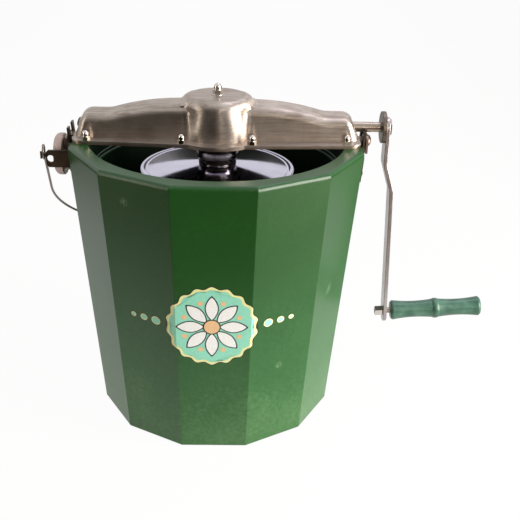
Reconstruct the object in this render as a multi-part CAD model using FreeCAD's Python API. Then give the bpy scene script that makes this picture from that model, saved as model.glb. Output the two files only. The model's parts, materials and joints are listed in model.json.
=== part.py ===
"""Hand crank ice cream freezer: a twelve-sided tub, a lift-off gear frame, a can with its lid and
dasher, and the crank.  Millimetres, +Z up.  The origin is the centre of the tub's resting face and the
crank leaves the gear frame towards +X."""

import FreeCAD, Part
import math
import os
from FreeCAD import Vector

X, Y, Z = Vector(1, 0, 0), Vector(0, 1, 0), Vector(0, 0, 1)
ORIGIN = Vector(0, 0, 0)

# ---------------------------------------------------------------- driving dimensions
# Clearances
running_gap = 0.05            # radial, a shaft in its bearing
seat_gap = 0.3                # between pieces of different bodies that lie side by side
part_gap = 0.1                # between fixed pieces that are screwed or pressed together

# Tub
tub_sides = 12
tub_height = 364.0
tub_top_flats = 361.2         # across the flats at the rim
tub_base_flats = 304.6        # across the flats at the foot
tub_edge_round = 2.5
tub_rim_round = 5.0
tub_rim_wall = 20.6           # from the round mouth to a facet, at the rim
tub_foot_wall = 14.3          # from the hollow to a facet, at the floor
tub_floor = 14.0
ledge_depth = 40.0            # the step in the hollow, below the rim
ledge_width = 2.5
pad_height = 44.0             # raised pads on the two side facets, below the rim
pad_width = 78.0
pad_proud = 1.5
drain_diameter = 16.0
drain_height = 290.0
boss_diameter = 60.0          # the step in the floor that carries the can
boss_height = 10.0
boss_taper = 3.0

# Can, its pivot and its lid
can_diameter = 188.0
can_wall = 1.2
can_foot = 30.0               # height of the can's underside
can_bead = 3.2                # diameter of the rolled edge
can_corner = 6.0              # outside round at the can's foot
pivot_diameter = 12.0
pivot_neck = 8.0              # where the pin goes through the can's floor
socket_wall = 6.0
socket_depth = 12.0
socket_flange = 4.0           # the cup's flange on the boss
lid_wall = 2.5
lid_skirt = 12.0
lid_edge_round = 2.0
lid_rise = 4.0                # the lid's middle above its edge
hub_diameter = 44.0           # the bright column in the lid
hub_height = 15.6             # the column above the lid's edge
hub_below = 10.0
hub_flange = 5.0
lid_step_diameter = 100.0     # where the lid's raised middle begins
claw_ring_diameter = 48.0
claw_ring_height = 5.6
claw_neck = 34.0              # the column's top, inside the claw ring
claw_count = 4
claw_start = 45.0             # degrees from +X to the first claw
claw_width = 9.0
claw_depth = 4.5
claw_gap = 0.4

# Dasher
stem_diameter = 14.0
stem_flats = 10.0             # across the flats of its hexagon top
stem_grip = 10.0              # how far the hexagon enters its socket
stem_play = 0.15              # on each flat of the hexagon
foot_diameter = 10.0
foot_socket_diameter = 34.0
foot_socket_height = 8.0
foot_socket_floor = 2.0
dasher_frame_gap = 10.0       # from the can's wall to the frame's side bars
dasher_bar = 9.0
dasher_corner = 16.0
dasher_thickness = 6.0
dasher_end_gap = 9.0          # from the can's floor and from its mouth
scraper_gap = 0.8
scraper_thickness = 4.0
scraper_width = 20.0
scraper_angle = 32.0
paddle_count = 3              # on each side of the stem
paddle_thickness = 3.0
paddle_width = 34.0
paddle_angle = 38.0

# Gear frame
plate_thickness = 2.5
cover_wall = 2.0
cover_height = 55.0           # the hub's flat top above the tub's rim
wing_height = 45.5            # the wing beside the hub, above the rim
wing_end_height = 32.5        # the wing's low outer end, above the rim
wing_rise = 93.0              # the length of the wing's slope
wing_foot_bend = 36.0         # radius of the hollow bend at the slope's foot
wing_low_length = 38.0        # from the slope to the end wall's foot
wing_end_step = 2.0           # the end wall's foot from the flange's end
end_wall_lean = 9.0
end_round = 14.0
wing_round = 10.0
wing_hub_width = 54.0
wing_end_width = 47.0
cover_hub_diameter = 88.0
cover_hub_round = 11.0
hub_crest_round = 12.0        # the bends of the flare from the hub's top down to the wings
hub_flare = 100.0             # diameter where the flare meets the wings
flare_step = 4.0              # the flare's sides lie this far inside the wings' sides
shoulder_margin = 1.0         # the flare's bend lies this far outside the round of the hub's top
hub_blend = 14.0
flange_end_gap = 2.6          # the flange's end from the tub's side face
flange_hub_width = 100.0
flange_end_width = 76.0
flange_hub_diameter = 117.0
flange_blend = 8.0
flange_corner = 12.0
gear_opening = 68.0           # the hole in the plate that the lower gear hangs in
frame_neck = 16.0             # the tongue that passes between the bracket's prongs
frame_tab_width = 34.0
left_tab_drop = 44.0
right_tab_drop = 16.5
right_tab_rise = 6.5          # the right tab stands above the plate
tab_corner = 4.0
tab_offset = 1.8              # from the bracket to the frame's tab

# Bevel gears
gear_module = 2.0
gear_teeth = 30
pinion_teeth = 12
gear_face = 9.0
pressure_angle = 20.0
gear_backlash = 0.35
tooth_shift = 0.3             # longer teeth on the pinion, shorter on the gears
tooth_rooting = 0.6           # how deep a tooth is rooted in its blank
flank_steps = 5
gear_boss_diameter = 32.0
can_gear_skirt = 61.0         # the lower gear's widest place, level with the rim
shaft_height = 17.0           # the crank shaft above the rim
gear_web = 4.0
sleeve_diameter = 20.0        # the dasher gear's sleeve, inside the can gear
can_gear_foot = 19.0          # the can gear's hub below the rim
can_gear_foot_diameter = 49.0
collar_diameter = 56.0
collar_height = 10.0
collar_lap = 5.0              # how far the collar is pressed up over the gear's hub
collar_spigot = 40.0
collar_wall = 1.3
ring_thickness = 1.6
ring_width = 3.0
ring_groove = 1.0
ring_split = 3.0
socket_bore = 14.8            # in the sleeve's foot
upper_hub_rise = 20.0         # above the shaft
upper_hub_diameter = 26.0

# Centre bolt
bolt_diameter = 8.0
bolt_head = 13.0
bolt_head_height = 4.0
bolt_thread = 6.4
bolt_head_drop = 22.0         # its top below the shaft
cover_boss = 18.0             # the boss in the cover that the bolt draws against
top_nut_flats = 11.1
top_nut_height = 13.4
washer_diameter = 13.5
washer_thickness = 1.0

# Cover fixings
stud_diameter = 6.0
nut_flats = 9.5
nut_height = 12.0
corner_stud_x = 43.0
corner_stud_y = 41.2
end_stud_inset = 18.0         # from the flange's end
end_stud_edge = 4.0           # from the flange's side

# Crank
shaft_diameter = 12.7
shaft_inner_end = 20.0
pinion_hub_diameter = 20.0
pin_diameter = 3.0
pin_x = 37.0
inner_bearing_x = 50.0
outer_bearing_inset = 26.0    # from the end wall's foot
bearing_width = 14.0
bearing_wall = 5.0
bearing_foot = 6.0
bearing_foot_height = 4.0
oil_hole_diameter = 2.5
shaft_collar_width = 7.0
shaft_collar_diameter = 22.0
crank_disc_diameter = 40.0
crank_disc_gap = 17.0         # from the frame's tab to the disc
crank_disc_thickness = 5.4
arm_width = 25.4
arm_thickness = 4.8
arm_jog_top = 47.0            # below the shaft
arm_jog_bottom = 83.0
arm_jog = 11.1
arm_lean = 2.3                # degrees, the arm below the jog
arm_length = 262.8            # from the shaft to the grip's rod
arm_end_drop = 2.0            # from the rod to the middle of the arm's round end
arm_edge_round = 0.8
arm_bend_round = 18.0
crank_nut_flats = 19.0
crank_nut_height = 2.2
shaft_end_proud = 0.8
grip_tilt = 4.0               # degrees, the grip's outer end is raised
grip_length = 125.0
grip_end_diameter = 27.0
grip_waist_diameter = 22.5
grip_bead_diameter = 28.0
grip_bead_width = 9.0
grip_end_round = 4.0
rod_diameter = 8.0
rod_nut_flats = 12.7
rod_nut_height = 10.0
rod_head_diameter = 14.0
rod_head_height = 3.0
rod_head_recess = 5.0
rod_clear = 0.4               # the tilted nut clears the arm
rod_grip_start = 8.5          # from the arm's middle to the grip

# Brackets, knob and bail
bracket_thickness = 2.5
bracket_width = 60.0
bracket_drop = 46.0           # below the rim
bracket_prong = 14.0          # above the rim
prong_width = 10.0
slot_drop = 7.5               # the slot between the prongs reaches this far below the rim
neck_gap = 0.3
bracket_head_height = 2.6     # of the low domed screw heads
ear_reach = 26.3              # from the bracket to the end of the ear
ear_height = 22.0
ear_top = 11.0                # below the rim
ear_hole = 9.0
ear_hole_inset = 5.5
ear_corner = 3.0
ear_side = 29.0               # the ear's middle plane, in front of the shaft
finger_height = 4.0
finger_reach = 5.0
finger_head = 9.0
finger_head_width = 2.0
knob_diameter = 53.0
knob_thickness = 14.5
knob_drop = 25.0              # its axis below the rim
knob_round = 6.5
knob_step = 2.0               # the knob's hub behind its rim
knob_dish = 1.5               # the hollow in its face
knob_slack = 1.0              # from the frame's tab
knob_screw = 8.0
button_diameter = 15.0
button_height = 5.5
button_drop = 0.5             # its axis below the rim
button_shank = 6.0
bracket_screw_diameter = 5.0
bracket_screw_head = 10.0
bracket_screw_length = 12.0
bail_wire_diameter = 3.2
bail_reach = 1.337            # its depth, as a share of the tub's half width
bail_bend = 0.764             # its corners' radius, as a share of the same
eye_diameter = 16.0           # of the eye's centre line
bail_drop = 13.5              # the bail's axis below the rim
bail_hang = 45.0              # degrees below level, where it rests against the tub's back
pivot_shank = 6.0
pivot_head = 15.0
plug_diameter = 12.0
plug_proud = 3.0
plug_lip = 1.5

# ---------------------------------------------------------------- worked-out places
rim = tub_height
plate_top = rim + plate_thickness
flange_top = plate_top + cover_wall
cover_top = rim + cover_height
shaft_z = rim + shaft_height
gear_radius = gear_module * gear_teeth / 2
pinion_radius = gear_module * pinion_teeth / 2
cone_distance = math.hypot(gear_radius, pinion_radius)
shaft_radius = shaft_diameter / 2
shaft_hole = shaft_radius + running_gap
bolt_head_top = shaft_z - bolt_head_drop
cover_boss_foot = shaft_z + upper_hub_rise + seat_gap + part_gap
button_z = rim - button_drop
can_radius = can_diameter / 2
can_floor = can_foot + can_wall
sleeve_radius = sleeve_diameter / 2
collar_top = rim - can_gear_foot + collar_lap
collar_foot = collar_top - collar_height
hub_top = collar_foot - claw_gap
lid_edge = hub_top - hub_height
tub_mouth = tub_top_flats - 2 * tub_rim_wall
tub_throat = tub_base_flats - 2 * tub_foot_wall
side_face = tub_top_flats / 2
side_slope = (tub_top_flats - tub_base_flats) / 2 / tub_height
pad_face = side_face + pad_proud
bracket_face = pad_face + part_gap + bracket_thickness
tab_inner = bracket_face + tab_offset
tab_outer = tab_inner + plate_thickness
ear_end = bracket_face + ear_reach
flange_length = side_face - flange_end_gap
wing_length = flange_length - wing_end_step
wing_rise_end = wing_length - wing_low_length
wing_rise_start = wing_rise_end - wing_rise
wall_slope = end_wall_lean / (wing_end_height - plate_thickness)
end_stud_x = flange_length - end_stud_inset
end_stud_y = flange_end_width / 2 - end_stud_edge
outer_bearing_x = wing_length - outer_bearing_inset
crank_disc_x = tab_outer + crank_disc_gap
bail_depth = side_face * bail_reach
bail_corner = side_face * bail_bend
bail_z = rim - bail_drop
wire_radius = bail_wire_diameter / 2
left_eye = Vector(-(ear_end + finger_reach / 2), -ear_side, bail_z)
pivot_eye = pivot_shank + bail_wire_diameter + 2 * seat_gap    # the other eye, round the pivot screw
eye_lean = pivot_eye / 2 * ear_side / ear_end      # the eyes stand square to the slanting axis
right_eye = Vector(bracket_face + seat_gap + wire_radius + eye_lean, ear_side, bail_z)
can_top = lid_edge - lid_wall - seat_gap
sleeve_foot = collar_foot + 1.0
ring_foot = sleeve_foot + 0.4
spigot_foot = ring_foot + ring_thickness + seat_gap
stem_top = sleeve_foot + stem_grip
grip_axis = Vector(math.cos(math.radians(grip_tilt)), 0, math.sin(math.radians(grip_tilt)))
arm_outer = crank_disc_x + crank_disc_thickness + part_gap + arm_thickness
rod_z = shaft_z - arm_length
os.makedirs("parts", exist_ok=True)


# ---------------------------------------------------------------- helpers
def save(node, *shapes):
    """Write one node: a single solid, or a group of separate solids."""
    solids = [solid for shape in shapes for solid in shape.Solids]
    shape = solids[0] if len(solids) == 1 else Part.makeCompound(solids)
    shape.exportStep(f"parts/{node}.step")
    volume = sum(solid.Volume for solid in solids)
    print(f"{node:24s} solids {len(solids):2d}  volume {volume / 1000:9.2f} cm3  valid {shape.isValid()}")


def cylinder(radius, start, length, axis=Z):
    return Part.makeCylinder(radius, length, start, axis)


def tube(outer, inner, start, length, axis=Z):
    reach = axis * 1.0
    bore = Part.makeCylinder(inner, length + 2, start - reach, axis)
    return Part.makeCylinder(outer, length, start, axis).cut(bore)


def block(x0, x1, y0, y1, z0, z1):
    return Part.makeBox(x1 - x0, y1 - y0, z1 - z0, Vector(x0, y0, z0))


def prism(points, direction):
    """A closed outline of straight sides, pushed along a direction."""
    wire = Part.makePolygon(points + [points[0]])
    return Part.Face(wire).extrude(direction)


def turned(points, start=ORIGIN, axis=Z):
    """A profile of (radius, height) points turned about an axis through start."""
    wire = Part.makePolygon([Vector(r, 0, h) for r, h in points + [points[0]]])
    shape = Part.Face(wire).revolve(ORIGIN, Z, 360)
    shape.Placement = FreeCAD.Placement(start, FreeCAD.Rotation(Z, axis))
    return shape


def hexagon(flats, start, length, axis=Z):
    corner = flats / 2 / math.cos(math.pi / 6)
    points = [Vector(corner * math.cos(k * math.pi / 3), corner * math.sin(k * math.pi / 3), 0)
              for k in range(6)]
    shape = prism(points, Z * length)
    shape.Placement = FreeCAD.Placement(start, FreeCAD.Rotation(Z, axis))
    return shape


def mirrored_x(shape):
    return shape.mirror(ORIGIN, X)


def leaned(shape):
    """Lean a piece made on an upright +X face back onto the tub's tapered one."""
    shape.rotate(Vector(pad_face, 0, rim), Y, math.degrees(math.atan(side_slope)))
    return shape


def acorn_nut(flats, height, bore, start):
    """A hexagon with a domed cap over the end of its bolt."""
    dome = flats * 0.44
    body_height = height - dome
    body = hexagon(flats, start, body_height * 0.6)
    neck = cylinder(dome, start, body_height)
    cap = Part.makeSphere(dome, start + Z * body_height)
    blind = cylinder(bore, start - Z, height * 0.55 + 1)
    return body.fuse([neck, cap]).removeSplitter().cut(blind)


# ---------------------------------------------------------------- tub
def tub_section(flats, z):
    corner = flats / 2 / math.cos(math.pi / tub_sides)
    step = 2 * math.pi / tub_sides
    points = [Vector(corner * math.cos((k + 0.5) * step), corner * math.sin((k + 0.5) * step), z)
              for k in range(tub_sides + 1)]
    return Part.makePolygon(points)


def side_pad():
    """The raised pad on the +X facet, following the facet's taper."""
    foot = rim - pad_height
    outer_foot = side_face - side_slope * pad_height + pad_proud
    inner = side_face - side_slope * pad_height - tub_rim_round
    half = pad_width / 2
    top = rim - tub_rim_round
    outer_top = side_face - side_slope * tub_rim_round + pad_proud
    points = [Vector(inner, -half, foot), Vector(outer_foot, -half, foot),
              Vector(outer_top, -half, top), Vector(inner, -half, top)]
    pad = prism(points, Y * pad_width)
    corners = [edge for edge in pad.Edges if edge.BoundBox.XMin > inner + 1 and edge.BoundBox.YLength < 1]
    return pad.makeFillet(pad_proud * 0.9, corners)


def tub():
    outside = Part.makeLoft([tub_section(tub_base_flats, 0), tub_section(tub_top_flats, rim)], True, True)
    upright = [edge for edge in outside.Edges if edge.BoundBox.ZLength > tub_height / 2]
    outside = outside.makeFillet(tub_edge_round, upright)
    top_edges = [edge for edge in outside.Edges if edge.BoundBox.ZMin > rim - 1]
    outside = outside.makeFillet(tub_rim_round, top_edges)
    foot_edges = [edge for edge in outside.Edges if edge.BoundBox.ZMax < 1]
    outside = outside.makeFillet(tub_edge_round, foot_edges)

    ledge_z = rim - ledge_depth
    slope = (tub_mouth - tub_throat) / 2 / (tub_height - tub_floor)
    throat = tub_throat / 2
    at_ledge = tub_mouth / 2 - slope * ledge_depth
    hollow = turned([(0, tub_floor), (throat - ledge_width, tub_floor), (at_ledge - ledge_width, ledge_z),
                     (at_ledge, ledge_z), (tub_mouth / 2, rim), (tub_mouth / 2, rim + 1), (0, rim + 1)])
    boss = turned([(0, tub_floor - 1), (boss_diameter / 2 + boss_taper, tub_floor - 1),
                   (boss_diameter / 2, tub_floor + boss_height), (0, tub_floor + boss_height)])
    socket_hole = cylinder(socket_radius() + part_gap, Vector(0, 0, tub_floor), boss_height + 1)
    drain = cylinder(drain_diameter / 2, Vector(0, 0, drain_height), tub_top_flats, Y)
    body = outside.fuse([side_pad(), mirrored_x(side_pad())]).cut(hollow)
    body = body.fuse(boss).cut([socket_hole, drain])
    screws = bracket_screws() + [mirrored_x(screw) for screw in bracket_screws()] + [bail_pivot_screw()]
    body = body.cut(screws)
    mouth = [edge for edge in body.Edges
             if edge.BoundBox.ZMin > rim - 0.01 and abs(edge.BoundBox.XLength - tub_mouth) < 0.1]
    return body.makeFillet(tub_edge_round, mouth)


def socket_radius():
    return pivot_diameter / 2 + socket_wall


def pivot_socket():
    """The cup in the tub's floor that the can turns on."""
    foot = tub_floor + part_gap
    top = can_foot - seat_gap
    bore = pivot_diameter / 2 + running_gap
    flange = tub_floor + boss_height + part_gap
    radius = socket_radius()
    edge = radius + socket_flange
    bevel = socket_flange * 0.4
    return turned([(0, foot), (radius, foot), (radius, flange), (edge, flange),
                   (edge, top - bevel), (edge - bevel, top), (bore, top),
                   (bore, top - socket_depth), (0, top - socket_depth)])


# ---------------------------------------------------------------- brackets, knob and bail
def bracket_outline():
    """A plate with two prongs above the rim and an open slot between them."""
    half = bracket_width / 2
    foot = rim - bracket_drop
    shoulder = rim - tub_rim_round
    prong = frame_neck / 2 + neck_gap
    outer = prong + prong_width
    top = rim + bracket_prong
    slot_foot = rim - slot_drop
    right = [(half, foot), (half, shoulder - prong_width), (outer, shoulder), (outer, top), (prong, top),
             (prong, slot_foot)]
    left = [(-y, z) for y, z in reversed(right)]
    return [Vector(pad_face + part_gap, y, z) for y, z in right + left]


def bracket_plate():
    plate = prism(bracket_outline(), X * bracket_thickness)
    return leaned(plate).cut(bracket_screws())


def bracket_screws():
    """The two screws low on the +X bracket; the other bracket has the same two."""
    screws = []
    head = bracket_screw_head / 2
    z = rim - bracket_drop + bracket_screw_head * 0.8
    for side in (-1, 1):
        y = side * (bracket_width / 2 - bracket_screw_head)
        start = Vector(bracket_face - bracket_screw_length, y, z)
        shank = cylinder(bracket_screw_diameter / 2, start, bracket_screw_length + 1, X)
        cap = low_head(head, Vector(bracket_face, y, z))
        screws.append(leaned(shank.fuse(cap)))
    return screws


def low_head(radius, start):
    """A low domed screw head on an upright +X face."""
    height = bracket_head_height
    return turned([(0, 0), (radius, 0), (radius, height * 0.4), (radius * 0.6, height * 0.85), (0, height)],
                  start, X)


def latch_bracket():
    """The -X bracket: the plate, and an ear that stands out to carry the bail's eye."""
    plate = mirrored_x(bracket_plate())
    top = rim - ear_top
    foot = top - ear_height
    finger_foot = bail_z - eye_diameter / 2 + wire_radius + seat_gap
    finger_top = finger_foot + finger_height
    head = (finger_head - finger_height) / 2
    root_top = pad_face + part_gap - side_slope * ear_top
    root_foot = root_top - side_slope * ear_height
    tip = ear_end + finger_reach
    end = tip + finger_head_width
    corner = ear_corner
    outline = [(root_foot, foot), (ear_end - corner, foot), (ear_end, foot + corner), (ear_end, finger_foot),
               (tip, finger_foot), (tip, finger_foot - head), (end, finger_foot - head),
               (end, finger_top + head), (tip, finger_top + head), (tip, finger_top),
               (ear_end, finger_top), (ear_end, top - corner), (ear_end - corner, top), (root_top, top)]
    ear = prism([Vector(-x, -ear_side - bracket_thickness / 2, z) for x, z in outline],
                Y * bracket_thickness)
    middle = Vector(-ear_end + ear_hole_inset, -bracket_width, (top + foot) / 2)
    hole = cylinder(ear_hole / 2, middle, bracket_width, Y)
    return plate.fuse(ear).removeSplitter().cut(hole)


def guide_bracket():
    """The +X bracket: the plate, with a lug round the bail's pivot screw."""
    lug = cylinder(pivot_head / 2, Vector(pad_face + part_gap, right_eye.y, right_eye.z),
                   bracket_thickness, X)
    plate = bracket_plate().fuse(leaned(lug)).removeSplitter()
    return plate.cut(bail_pivot_screw())


def bail_pivot_screw():
    """A shoulder screw on the +X bracket, under whose head the bail's other eye turns."""
    y, z = right_eye.y, right_eye.z
    head = right_eye.x + wire_radius + seat_gap + eye_lean
    start = Vector(bracket_face - bracket_screw_length, y, z)
    shank = cylinder(bracket_screw_diameter / 2, start, head - start.x, X)
    seat = bracket_face - side_slope * bail_drop + part_gap
    shoulder = cylinder(pivot_shank / 2, Vector(seat, y, z), head - seat, X)
    return shank.fuse([shoulder, low_head(pivot_head / 2, Vector(head, y, z))])


def bail_frame():
    """The bail's own directions: along its axis, and out to its wire where it rests."""
    along = (right_eye - left_eye).normalize()
    back = Z.cross(along)
    hang = math.radians(bail_hang)
    outward = back * math.cos(hang) - Z * math.sin(hang)
    return along, outward


def bail_wire():
    """A wire with straight legs, round corners and a straight back, and an eye at each end."""
    along, outward = bail_frame()
    width = (right_eye - left_eye).Length
    depth = bail_depth
    turn = bail_corner

    def at(u, r):
        return left_eye + along * u + outward * r

    lean = turn * (1 - math.cos(math.pi / 4))
    path = [Part.makeLine(at(0, eye_diameter / 2), at(0, depth - turn)),
            Part.Arc(at(0, depth - turn), at(lean, depth - lean), at(turn, depth)).toShape(),
            Part.makeLine(at(turn, depth), at(width - turn, depth)),
            Part.Arc(at(width - turn, depth), at(width - lean, depth - lean),
                     at(width, depth - turn)).toShape(),
            Part.makeLine(at(width, depth - turn), at(width, pivot_eye / 2))]
    spine = Part.Wire(path)
    section = Part.Wire(Part.makeCircle(wire_radius, at(0, eye_diameter / 2), outward))
    wire = spine.makePipeShell([section], True, True)
    eyes = [Part.makeTorus(eye_diameter / 2, wire_radius, left_eye, along),
            Part.makeTorus(pivot_eye / 2, wire_radius, right_eye, along)]
    return wire.fuse(eyes)


def clamp_knob():
    """The hand knob with its screw, a turn slack so that the frame lifts off past the bracket."""
    radius = knob_diameter / 2
    face = tab_outer + knob_slack
    centre_r = radius - knob_round
    centre_h = knob_thickness - knob_round
    arc = [(centre_r + knob_round * math.cos(a), centre_h + knob_round * math.sin(a))
           for a in [math.pi / 8 * k for k in range(5)]]
    step = knob_step
    bevel = step * 0.75
    hollow = knob_thickness - knob_dish
    profile = [(0, 0), (radius * 0.7, 0), (radius * 0.77, step), (radius - bevel, step),
               (radius, step + bevel)]
    profile = profile + arc + [(radius * 0.45, knob_thickness), (radius * 0.4, hollow), (0, hollow)]
    knob = turned(profile, Vector(-face, 0, rim - knob_drop), -X)
    tip = bracket_face - side_slope * slot_drop + seat_gap
    screw = cylinder(knob_screw / 2, Vector(-face - 2, 0, rim - knob_drop), face + 2 - tip, X)
    return knob.fuse(screw)


# ---------------------------------------------------------------- gear frame
def blended_outline(hub_radius, hub_width, end_width, length, blend, inset, corner):
    """Plan of a round hub with a tapering wing on each side, pulled in by inset."""
    slope = (hub_width - end_width) / 2 / length
    cos_slope = 1 / math.hypot(1, slope)
    rise = hub_width / 2 + blend / cos_slope
    reach = hub_radius + blend
    a, b, c = 1 + slope ** 2, -2 * slope * rise, rise ** 2 - reach ** 2
    centre_x = (-b + math.sqrt(b * b - 4 * a * c)) / (2 * a)
    centre_y = rise - slope * centre_x
    inner_blend = blend + inset
    line_x = centre_x - inner_blend * slope * cos_slope
    line_y = centre_y - inner_blend * cos_slope
    scale = (hub_radius - inset) / reach
    hub_x, hub_y = centre_x * scale, centre_y * scale
    middle = math.atan2((line_y + hub_y) / 2 - centre_y, (line_x + hub_x) / 2 - centre_x)
    mid_x = centre_x + inner_blend * math.cos(middle)
    mid_y = centre_y + inner_blend * math.sin(middle)
    end_x = length - inset
    end_y = line_y - slope * (end_x - line_x)
    edges = []

    def line(x0, y0, x1, y1):
        edges.append(Part.makeLine(Vector(x0, y0, 0), Vector(x1, y1, 0)))

    def arc(x0, y0, x1, y1, x2, y2):
        edges.append(Part.Arc(Vector(x0, y0, 0), Vector(x1, y1, 0), Vector(x2, y2, 0)).toShape())

    lean = corner * (1 - math.sqrt(0.5))
    for sx in (1, -1):
        line(sx * (end_x), -end_y + corner, sx * end_x, end_y - corner)
        for sy in (1, -1):
            if corner:
                arc(sx * end_x, sy * (end_y - corner), sx * (end_x - lean), sy * (end_y - lean),
                    sx * (end_x - corner), sy * (end_y + slope * corner))
            line(sx * (end_x - corner), sy * (end_y + slope * corner), sx * line_x, sy * line_y)
            arc(sx * line_x, sy * line_y, sx * mid_x, sy * mid_y, sx * hub_x, sy * hub_y)
    for sy in (1, -1):
        arc(-hub_x, sy * hub_y, 0, sy * (hub_radius - inset), hub_x, sy * hub_y)
    wire = Part.Wire(Part.__sortEdges__(edges))
    return Part.Face(wire)


def wing_profile(inset, foot):
    """Side view of both wings: low ends, a smooth rise and a level middle."""
    top = rim + wing_height - inset
    low = rim + wing_end_height - inset
    run = wing_rise_end - wing_rise_start
    rise = top - low
    # Two arcs make the slope: a long one down from the middle, and the hollow bend at its foot.
    turn = 2 * math.atan2(rise, run)
    foot_bend = wing_foot_bend + inset
    long_bend = (run ** 2 + rise ** 2) / (2 * rise) - foot_bend

    def on_arc(x, z, radius, angle):
        return Vector(x + radius * math.sin(angle), 0, z + radius * math.cos(angle))

    crest_z = top - long_bend
    hollow_z = low + foot_bend
    end = end_round - inset
    foot_x = wing_length - inset
    lean = wall_slope
    angle = math.atan(lean)
    # The corner's centre is level with the low top, and end away from the leaning wall.
    centre_z = low - end
    wall_x = foot_x - lean * (centre_z - plate_top)
    centre_x = wall_x - end / math.cos(angle)
    touch = Vector(centre_x + end * math.cos(angle), 0, centre_z + end * math.sin(angle))
    half = math.pi / 4 + angle / 2
    middle = Vector(centre_x + end * math.cos(half), 0, centre_z + end * math.sin(half))
    foot_at = Vector(foot_x + lean * (plate_top - foot), 0, foot)
    start = Vector(wing_rise_start, 0, top)
    first = on_arc(wing_rise_start, crest_z, long_bend, turn / 2)
    bend = on_arc(wing_rise_start, crest_z, long_bend, turn)
    second = on_arc(wing_rise_end, hollow_z, -foot_bend, turn / 2)
    finish = Vector(wing_rise_end, 0, low)
    corner = Vector(centre_x, 0, low)
    return [Part.makeLine(Vector(0, 0, foot), foot_at), Part.makeLine(foot_at, touch),
            Part.Arc(touch, middle, corner).toShape(), Part.makeLine(corner, finish),
            Part.Arc(finish, second, bend).toShape(), Part.Arc(bend, first, start).toShape(),
            Part.makeLine(start, Vector(0, 0, top)), Part.makeLine(Vector(0, 0, top), Vector(0, 0, foot))]


def hub_shoulder(inset, foot):
    """A round form with a flat top, a convex bend and a hollow bend down to the level of the wings."""
    top = cover_top - inset
    low = rim + wing_height - inset
    start = cover_hub_diameter / 2 - cover_hub_round + shoulder_margin
    run = hub_flare / 2 - start
    drop = top - low
    turn = 2 * math.atan2(drop, run)
    crest = hub_crest_round - inset
    hollow = (run ** 2 + drop ** 2) / (2 * drop) - crest
    end = start + run

    def on_bend(r, z, radius, angle):
        return Vector(r + radius * math.sin(angle), 0, z + radius * math.cos(angle))

    change = on_bend(start, top - crest, crest, turn)
    side = [Part.makeLine(Vector(0, 0, foot), Vector(0, 0, top)),
            Part.makeLine(Vector(0, 0, top), Vector(start, 0, top)),
            Part.Arc(Vector(start, 0, top), on_bend(start, top - crest, crest, turn / 2), change).toShape(),
            Part.Arc(change, on_bend(end, low + hollow, -hollow, turn / 2), Vector(end, 0, low)).toShape(),
            Part.makeLine(Vector(end, 0, low), Vector(end, 0, foot)),
            Part.makeLine(Vector(end, 0, foot), Vector(0, 0, foot))]
    return Part.Face(Part.Wire(side)).revolve(ORIGIN, Z, 360)


def top_rounded(form, level, radius):
    """A form with its long edges above a level rounded."""
    edges = [edge for edge in form.Edges
             if edge.BoundBox.ZMin > level and edge.BoundBox.XLength > 1 and abs(edge.BoundBox.Center.y) > 1]
    return form.makeFillet(radius, edges)


def cover_column(inset, foot, step):
    """The cover's plan, drawn up to its top, with its wings made narrower by a step on each side."""
    plan = blended_outline(cover_hub_diameter / 2, wing_hub_width - 2 * step, wing_end_width - 2 * step,
                           wing_length + 20, hub_blend, inset, 0)
    column = plan.extrude(Z * (cover_top - inset - foot))
    column.translate(Z * foot)
    return column


def cover_form(inset, foot):
    """The closed form of the gear cover: a hub that flares into two wings with rounded top edges."""
    column = cover_column(inset, foot, 0)
    half = flange_hub_diameter / 2
    slab = Part.Face(Part.Wire(wing_profile(inset, foot))).extrude(Y * 2 * half)
    slab.translate(Y * -half)
    wing = top_rounded(column.common(slab), foot + 1, wing_round - inset)
    hub = top_rounded(cover_column(inset, foot, flare_step), cover_top - inset - 1, cover_hub_round - inset)
    hub = hub.common(hub_shoulder(inset, foot))
    return hub.fuse([wing, mirrored_x(wing)]).removeSplitter()


def flange_outline(inset=0.0):
    return blended_outline(flange_hub_diameter / 2, flange_hub_width, flange_end_width, flange_length,
                           flange_blend, inset, flange_corner)


def stud_places():
    places = [(sx * x, sy * y) for x, y in ((corner_stud_x, corner_stud_y), (end_stud_x, end_stud_y))
              for sx in (-1, 1) for sy in (-1, 1)]
    return places


def gear_cover():
    outside = cover_form(0, plate_top)
    inside = cover_form(cover_wall, plate_top - 5)
    flange = flange_outline().extrude(Z * cover_wall)
    flange.translate(Z * plate_top)
    body = outside.fuse(flange).cut(inside)
    holes = [cylinder(stud_diameter / 2 + part_gap, Vector(x, y, plate_top - 1), cover_wall + 2)
             for x, y in stud_places()]
    holes.append(cylinder(bolt_thread / 2 + part_gap, Vector(0, 0, cover_boss_foot - 1), cover_height))
    holes.append(cylinder(shaft_radius + seat_gap, Vector(wing_length / 2, 0, shaft_z), wing_length, X))
    place, outward = plug_axis()
    plug_hole = cylinder(plug_diameter / 2 - plug_lip + part_gap, place - outward * 10, 20, outward)
    holes.append(mirrored_x(plug_hole))
    boss = cylinder(cover_boss / 2, Vector(0, 0, cover_boss_foot), cover_top - cover_wall / 2 - cover_boss_foot)
    return body.fuse(boss).cut(holes)


def end_tab(drop, rise):
    """A neck that passes between the +X bracket's prongs, and a tab that stands outside them."""
    neck = block(flange_length - flange_corner, tab_outer, -frame_neck / 2, frame_neck / 2, rim, plate_top)
    half = frame_tab_width / 2
    tab = block(tab_inner, tab_outer, -half, half, plate_top - drop, plate_top + rise)
    corners = [edge for edge in tab.Edges if edge.BoundBox.XLength > plate_thickness / 2]
    return neck.fuse(tab.makeFillet(tab_corner, corners))


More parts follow.
